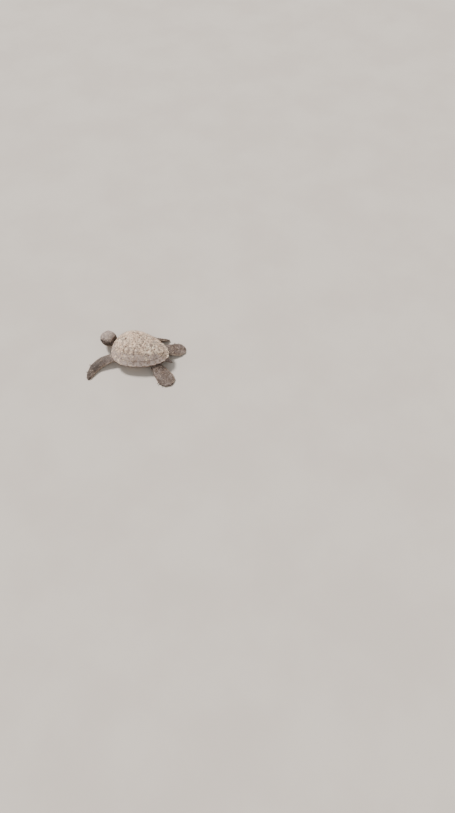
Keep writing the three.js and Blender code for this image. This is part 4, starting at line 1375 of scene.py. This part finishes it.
def store_skin(mesh, points, part, t, around, upward, border, tone):
    """What the skin's material reads at each point: scales, pale underside, front blades darkened partly as
    painted shade, and dust.
    """
    groove = relaxed(border[:, None], edges_of(mesh), 2, (part != "head") * 0.8)[:, 0]
    store(mesh, "groove", np.clip(groove, 0, 1))
    store(mesh, "border", border)
    store(mesh, "tone", tone)
    edge = np.where(np.isin(part, list(FLIPPERS)), smooth(-0.55, -0.95, np.cos(around)), 0)
    store(mesh, "pale", np.clip(smooth(0.1, -0.6, upward) + 0.4 * edge, 0, 1))
    front = np.isin(part, ["front_left", "front_right"])
    reach = np.where(front, smooth(0.1, 0.45, t), 0)
    # The front flippers' blades are darkened, partly their own dark skin and partly painted shade.
    store(mesh, "dark", 0.85 * reach * (1 - 0.5 * edge))
    drift = np.select([part == "head", part == "tail", front],
                      [HEAD_DUST, TAIL_DUST, ARM_DUST * (1 - reach)], HIND_DUST)
    store(mesh, "dust", drift + 0.12 * noise(points, 4.0, 82))


def build_skin():
    """The skin over trunk, neck, tail, head, lower jaw and flippers, with its relief in its own mesh."""
    mesh, sources = fused_skin()
    edges = edges_of(mesh)
    points = coordinates(mesh)
    part, t, around = nearest_source(points, sources)
    head, coarse = part == "head", np.isin(part, ["neck", "trunk"])
    seam = (coarse | (~head & (t < ROOT_END))) * 1.0
    points = relaxed(points, edges, 6, seam)
    set_points(mesh, points)
    normals = normals_of(mesh)
    scales = relaxed(np.stack(scaled(points, part), 1), edges, 3, seam)
    border, tone = np.clip(scales, 0, 1).T
    points = points + normals * skin_relief(points, part, t, around, border)[:, None]
    nape = np.linalg.norm(points - NAPE, axis=1)
    points = relaxed(points, edges, 2, seam)
    points = relaxed(points, edges, 3, smooth(*NAPE_REACH, nape) * (head | coarse))
    points[head] = from_head(shape_lids(to_head(points[head])))
    points[:, 2] = np.maximum(points[:, 2], 0.0)
    set_points(mesh, points * MM)
    store_skin(mesh, points, part, t, around, normals[:, 2], border, tone)
    mesh.name = "skin"
    skin = bpy.data.objects.new("skin", mesh)
    bpy.context.scene.collection.objects.link(skin)
    flippers = [name.replace("_", "_flipper_") for name in FLIPPERS]
    return finished(skin, SKIN, "skin", "trunk", "neck", "tail", "head", "lower_jaw", *flippers)


# ---------------------------------------------------------------- eyes, beak and claws

EYE_RINGS, EYE_POINTS, EYE_BULGE = 49, 64, 0.012


def eye_piece(name, side):
    """An eyeball whose front bulges a little where the iris is."""
    out, ahead, up = eye_axes(side)
    polar = np.linspace(0, np.pi, EYE_RINGS)[1:-1, None]
    turn = full_turn(EYE_POINTS)[None, :]
    radius = EYE_RADIUS * (1 - EYE_BULGE * smooth(0.55, 0.75, polar))
    rings = (radius * np.cos(polar) + 0 * turn)[..., None] * out
    rings = rings + (radius * np.sin(polar) * np.cos(turn))[..., None] * ahead
    rings = rings + (radius * np.sin(polar) * np.sin(turn))[..., None] * up
    vertices, faces = loft(rings + eye_centre(side))
    vertices[-2] = eye_centre(side) + out * EYE_RADIUS
    vertices[-1] = eye_centre(side) - out * EYE_RADIUS
    piece = new_object(f"eyeball_{name}", from_head(vertices), faces)
    store(piece.data, "polar", np.append((polar + 0 * turn).ravel(), [0, np.pi]))
    return finished(piece, EYE, "eye", f"eye_{name}")


def half_width(s, z):
    """How far from its midplane the head's surface is, at a share s and a height z."""
    side, up, down, drop = head_section(s)
    rise = np.abs(z - drop) / np.where(z > drop, up, down)
    return side * np.maximum(0, 1 - rise ** SQUARENESS) ** (1 / SQUARENESS)


def snout_start(z):
    """The smallest share behind the snout at which the head reaches a height."""
    low, high = np.full(np.shape(z), 1e-4), np.full(np.shape(z), BEAK_BACK)
    for _ in range(24):
        middle = (low + high) / 2
        reached = half_width(middle, z) > 0
        low, high = np.where(reached, low, middle), np.where(reached, middle, high)
    return high


SHEATH_COLUMNS, SHEATH_ROWS, SHEATH_SETTLE = 121, 25, 8
SHEATH_ROLL, SHEATH_DROP, SHEATH_SUNK, SNOUT_CORE = 0.3, 0.16, 0.14, (0, -6, -1)


def sheath(low_at, high_at, shape_at, outer_at, inner):
    """A horn sheath over the snout, between a low and a high line, as its outer and inner points and
    the distance from its edge. q runs round the snout from -1 to 1 and w from the low line to the
    high one. shape_at says at which height of the head it takes its form, outer_at how proud it
    stands, and inner how far it reaches in. Its rear ends sink into the skin."""
    q, w = np.meshgrid(np.linspace(-1, 1, SHEATH_COLUMNS), crowded(SHEATH_ROWS))
    y = np.full(q.shape, -HEAD_LENGTH)
    for _ in range(SHEATH_SETTLE):
        z = lerp(low_at(y, q), high_at(y), w)
        shape_z = shape_at(y, z)
        start = snout_start(shape_z)
        s = start + (BEAK_BACK - start) * q ** 2
        y = (s - 1) * HEAD_LENGTH
    points = np.stack([np.sign(q) * half_width(s, shape_z), y, z], -1)
    across, down = np.gradient(points, axis=1), np.gradient(points, axis=0)
    normal = np.cross(across, down)
    normal /= np.maximum(np.linalg.norm(normal, axis=-1, keepdims=True), 1e-9)
    normal[..., 2] *= 0.5
    normal *= np.sign((normal * (points - SNOUT_CORE)).sum(-1, keepdims=True))
    edge = nearest_distance(points, outline_of(points))
    lift = outer_at(q, w, z) - rolled(edge, SHEATH_ROLL, SHEATH_DROP)
    lift = lerp(-SHEATH_SUNK, lift, smooth(1.0, 0.86, np.abs(q)))
    outer = points + normal * lift[..., None]
    return outer, points - normal * inner, edge


def upper_sheath():
    """The upper beak: a hook in the middle of its lower line, and the egg tooth above it."""
    def low(y, q):
        return mouth_line(y) - 0.1 - 0.34 * hump(q, 0.34) - 0.14 * hump(q, 0.7)

    def shape(y, z):
        return np.maximum(z, mouth_line(y) - 0.05)

    def lift(q, w, z):
        egg_tooth = 0.2 * hump(q, 0.07) * hump(z + 0.7, 0.34)
        ripples = 0.05 * np.cos(q * 9)
        return 0.05 + egg_tooth + ripples * w * (1 - w)

    return sheath(low, beak_top, shape, lift, 0.3)


def lower_sheath():
    """The lower beak, whose upper edge tucks in behind the upper one."""
    def low(y, _):
        return beak_foot(y)

    def high(y):
        return mouth_line(y) - 0.04

    def shape(_, z):
        return z

    def lift(_, w, __):
        return lerp(0.08, -0.2, smooth(0.4, 1, w))

    return sheath(low, high, shape, lift, 0.32)


def beak_piece(name, outer, inner, edge):
    vertices, faces = slab(outer, inner)
    body = from_head(vertices), faces, np.pad(edge.ravel(), (0, edge.size))
    return horn_piece(f"horn_{name}", body, BEAK, "beak", name)


# A claw's radius at shares of its length, from inside the flipper to its tip.
CLAW_RADII = ((-0.5, 0.44), (0, 0.43), (0.2, 0.4), (0.5, 0.32), (0.75, 0.22), (0.92, 0.12), (1, 0.04))
CLAW_CURVE, CLAW_LIFT, CLAW_PROUD = 0.55, 0.45, 0.1
CLAW_RINGS, CLAW_POINTS = 30, 24


def claw_piece(name, stations, lead, place, length):
    """A claw stands on the leading edge and curves towards the tip."""
    centre, tangent, to_edge, _, chord, _ = limb_frame(stations, lead, place / (len(stations) - 1))
    root = centre + to_edge * (chord / 2 + CLAW_PROUD)
    share, radius = np.array(CLAW_RADII).T
    at = np.linspace(share[0], 1, CLAW_RINGS)
    size = np.interp(at, share, radius)[:, None]
    bend = np.sign(at) * at ** 2 * CLAW_CURVE
    middle = root + np.outer(at * (length + 2 * CLAW_PROUD), to_edge) + np.outer(bend * length, tangent)
    middle[:, 2] = np.maximum(CLAW_LIFT, middle[:, 2])
    around = full_turn(CLAW_POINTS)[None, :]
    rings = middle[:, None] + (size * np.cos(around))[..., None] * tangent
    rings = rings + (size * np.sin(around))[..., None] * UP
    worn = np.append(np.repeat(1 - np.clip(at, 0, 1), CLAW_POINTS), [1, 0])
    return horn_piece(f"horn_{name}", (*loft(rings), worn), CLAW, "claw", name)


def build_features():
    for name, side in SIDES:
        eye_piece(name, side)
    beak_piece("beak_upper", *upper_sheath())
    beak_piece("beak_lower", *lower_sheath())
    for name, (stations, lead, claws) in FLIPPERS.items():
        for i, (place, length) in enumerate(claws):
            claw_piece(f"claw_{name}_{i + 1}", stations, lead, place, length)


# ---------------------------------------------------------------- loose sand

PATCH, GRAIN_PROUD, BARE_FLANK = 0.003, 0.35, 0.65


def triangles_of(pieces):
    """Corners of every triangle of these pieces, in millimetres."""
    corners = []
    for piece in pieces:
        piece.data.calc_loop_triangles()
        index = values_of(piece.data.loop_triangles, "vertices", 3, np.int32)
        corners.append((coordinates(piece.data) / MM)[index])
    return np.concatenate(corners)


def scattered(pieces, count, density, rng):
    """Places picked on these pieces by area and density, and the way each of them faces."""
    corners = triangles_of(pieces)
    cross = np.cross(corners[:, 1] - corners[:, 0], corners[:, 2] - corners[:, 0])
    area = np.linalg.norm(cross, axis=1) / 2
    normal = cross / np.maximum(2 * area[:, None], 1e-12)
    weight = area * density(corners.mean(1), normal)
    chosen = rng.choice(len(corners), count, p=weight / weight.sum())
    a, b = np.sort(rng.uniform(0, 1, (2, count)), axis=0)
    shares = np.stack([a, b - a, 1 - b], 1)[..., None]
    return (corners[chosen] * shares).sum(1), normal[chosen]


def grain_shapes(count, detail, rng):
    """Grains of radius 1 with a spin, stretch and rough faces of their own, and all their faces."""
    work = bmesh.new()
    bmesh.ops.create_icosphere(work, subdivisions=detail, radius=1.0)
    ball = np.array([v.co for v in work.verts])
    faces = np.array([[v.index for v in face.verts] for face in work.faces])
    work.free()
    stretch = rng.uniform(0.7, 1.25, (count, 1, 3))
    spin = np.linalg.qr(rng.normal(size=(count, 3, 3)))[0]
    rough = rng.uniform(0.84, 1.12, (count, len(ball), 1))
    grains = np.einsum("nij,nkj->nki", spin, ball * stretch * rough)
    return grains, (faces + (np.arange(count) * len(ball))[:, None, None]).reshape(-1, 3).tolist()


def map_grains(mesh, roots, grains):
    """Gives each grain a small patch of the map, at its root's place on the surface laid flat."""
    flat = roots[:, :2] - roots[:, :2].min(0)
    centre = (PATCH + flat / flat.max() * (1 - 2 * PATCH))[:, None]
    spots = (centre + PATCH / 2 * np.clip(grains[..., :2], -1, 1)).reshape(-1, 2)
    index = values_of(mesh.loops, "vertex_index", 1, np.int32)[:, 0]
    layer = mesh.uv_layers.new(name="OFBake")
    layer.data.foreach_set("uv", spots[index].astype(np.float32).ravel())


def sand_piece(name, pieces, density, count, sizes, seed, detail=1):
    """Grains that lie half sunk on what faces up, as one mesh. Their sizes run from the first to the
    second, with more small ones than large ones."""
    rng = np.random.default_rng(SEED + seed)
    roots, normals = scattered(pieces, count, density, rng)
    size = rng.uniform(0, 1, count) ** 1.8 * (sizes[1] - sizes[0]) / 2 + sizes[0] / 2
    grains, faces = grain_shapes(count, detail, rng)
    middles = roots + normals * size[:, None] * GRAIN_PROUD
    vertices = middles[:, None] + grains * size[:, None, None]
    piece = new_object(name, vertices.reshape(-1, 3), faces)
    tone = 0.2 + 0.6 * rng.uniform(0, 1, count) + 0.55 * noise(roots, 1.5, seed)
    store(piece.data, "tone", np.repeat(np.clip(tone, 0, 1), grains.shape[1]))
    map_grains(piece.data, roots, grains)
    piece.data.shade_smooth()
    piece.data.materials.append(GRAINS)
    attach(piece, "root")


def drifts(middle, level, size, seed, least=0.05):
    """How thickly grains lie, in drifts of about the given size."""
    return np.clip(level + 0.9 * noise(middle, size, seed), least, 1.4)


def covered(middle):
    """What share of the grains the left flank of the shell leaves."""
    return 1 - BARE_FLANK * smooth_flank(*middle.T[:2])


def shell_density(middle, normal):
    """More grains on the front half and the crown, in drifts, and few on the steep left flank."""
    front = 1 + 0.9 * smooth(4, -12, middle[:, 1])
    return drifts(middle, 0.6, 4.5, 61) * front * covered(middle) * smooth(0.25, 0.8, normal[:, 2])


def rim_density(middle, normal):
    return drifts(middle, 0.5, 3.5, 62) * covered(middle) * smooth(0.3, 0.8, normal[:, 2])


def skin_density(middle, normal):
    """Grains on the flippers, neck and head, but none on the lids or under the shell."""
    seen = rho_at(*middle.T[:2]) > 0.98
    clear = smooth(2.4, 3.2, eye_distance(middle))
    return seen * clear * drifts(middle, 0.45, 3.5, 63, 0.03) * smooth(0.3, 0.85, normal[:, 2])


# ---------------------------------------------------------------- stage, light and camera

FLOOR_SPAN, FLOOR_LINES = 40.0, 9
HORIZON, ZENITH = (1.0, 0.985, 0.965, 1), (0.5, 0.495, 0.48, 1)
# Each sun's direction, strength, spread in degrees and colour.
KEY_LIGHT = ((-0.35, -0.75, 0.95), 5.6, 14, (1.0, 0.975, 0.945))
FILL_LIGHT = ((0.9, 0.4, 0.8), 0.7, 60, (0.95, 0.97, 1.0))
CAMERA_AZIMUTH, CAMERA_ELEVATION, CAMERA_DISTANCE = 120, 48, 0.496
CAMERA_TARGET, TARGET_PIXEL = (0, 0, 0.008), (141.2, 349.7)
PICTURE, FOCAL_PIXELS, SENSOR = (455, 813), 638, 36.0


def build_floor():
    finish = Finish("floor")
    broad = finish.noise(60, 4.0)
    colour = finish.blend(rgb(192, 183, 174), rgb(198, 189, 180), broad, 0.35, 0.65)
    grain = finish.noise(0.8, 3.0)
    material = finish.surface(Base_Color=colour, Roughness=0.9, Normal=finish.bump(grain, 0.03))
    lines = np.linspace(-0.5, 0.5, FLOOR_LINES) * FLOOR_SPAN / MM
    x, y = np.meshgrid(lines, lines)
    corners = np.stack([x, y, 0 * x], -1).reshape(-1, 3)
    floor = new_object("floor", corners, grid_faces(FLOOR_LINES, FLOOR_LINES))
    floor.data.materials.append(material)


def soft_sun(name, towards, strength, spread, colour):
    """A sun with a wide disc, so that its shadows are soft, which shines from a direction."""
    data = bpy.data.lights.new(name, "SUN")
    data.energy, data.angle, data.color = strength, math.radians(spread), colour
    lamp = bpy.data.objects.new(name, data)
    lamp.location = Vector(towards).normalized()
    lamp.rotation_euler = (-Vector(towards)).to_track_quat("-Z", "Y").to_euler()
    bpy.context.scene.collection.objects.link(lamp)


def build_light():
    """A pale room that is brightest at the horizon, a key light from beyond the head and a weak fill."""
    world = bpy.data.worlds.new("studio")
    world.use_nodes = True
    nodes, links = world.node_tree.nodes, world.node_tree.links
    height = nodes.new("ShaderNodeSeparateXYZ")
    links.new(nodes.new("ShaderNodeTexCoord").outputs["Generated"], height.inputs[0])
    ramp = nodes.new("ShaderNodeValToRGB")
    ramp.color_ramp.elements[0].position, ramp.color_ramp.elements[0].color = 0.03, HORIZON
    ramp.color_ramp.elements[1].position, ramp.color_ramp.elements[1].color = 0.45, ZENITH
    links.new(height.outputs["Z"], ramp.inputs["Fac"])
    links.new(ramp.outputs["Color"], nodes["Background"].inputs["Color"])
    bpy.context.scene.world = world
    soft_sun("key", *KEY_LIGHT)
    soft_sun("fill", *FILL_LIGHT)


def build_camera():
    """The camera looks down on the turtle so that it shows where, and as large as, the picture has it.
    It stays level, and its pitch and yaw bring the ray through the target's pixel onto the target."""
    turn, rise = math.radians(CAMERA_AZIMUTH), math.radians(CAMERA_ELEVATION)
    back = Vector((math.sin(turn) * math.cos(rise), -math.cos(turn) * math.cos(rise), math.sin(rise)))
    ray = Vector(((TARGET_PIXEL[0] - PICTURE[0] / 2) / FOCAL_PIXELS,
                  (PICTURE[1] / 2 - TARGET_PIXEL[1]) / FOCAL_PIXELS, -1)).normalized()
    look = -back
    reach = math.hypot(ray.y, ray.z)
    base = math.atan2(ray.y, ray.z)
    for sign in (1, -1):
        pitch = base + sign * math.acos(look.z / reach)
        pitch = (pitch + math.pi) % (2 * math.pi) - math.pi
        if 0 < pitch < math.pi:
            break
    level = ray.y * math.cos(pitch) - ray.z * math.sin(pitch)
    yaw = math.atan2(look.y, look.x) - math.atan2(level, ray.x)
    data = bpy.data.cameras.new("camera")
    data.sensor_fit, data.sensor_width = "AUTO", SENSOR
    data.lens = FOCAL_PIXELS / max(PICTURE) * SENSOR
    data.clip_start, data.clip_end = 0.01, 20
    camera = bpy.data.objects.new("camera", data)
    camera.location = Vector(CAMERA_TARGET) + back * CAMERA_DISTANCE
    camera.rotation_euler = (pitch, 0, yaw)
    bpy.context.scene.collection.objects.link(camera)
    bpy.context.scene.camera = camera


build_camera()
build_light()
build_floor()
scutes = build_scutes()
rims = build_rim()
build_belly()
skin = build_skin()
build_features()
# Each with its number of grains, their smallest and largest size, and a seed.
sand_piece("sand_on_scutes", scutes, shell_density, 6000, (0.14, 0.36), 1)
sand_piece("coarse_sand_on_scutes", scutes, shell_density, 1300, (0.32, 0.56), 4, 2)
sand_piece("sand_on_rim", rims, rim_density, 2200, (0.12, 0.38), 2)
sand_piece("sand_on_skin", [skin], skin_density, 1500, (0.1, 0.32), 3)
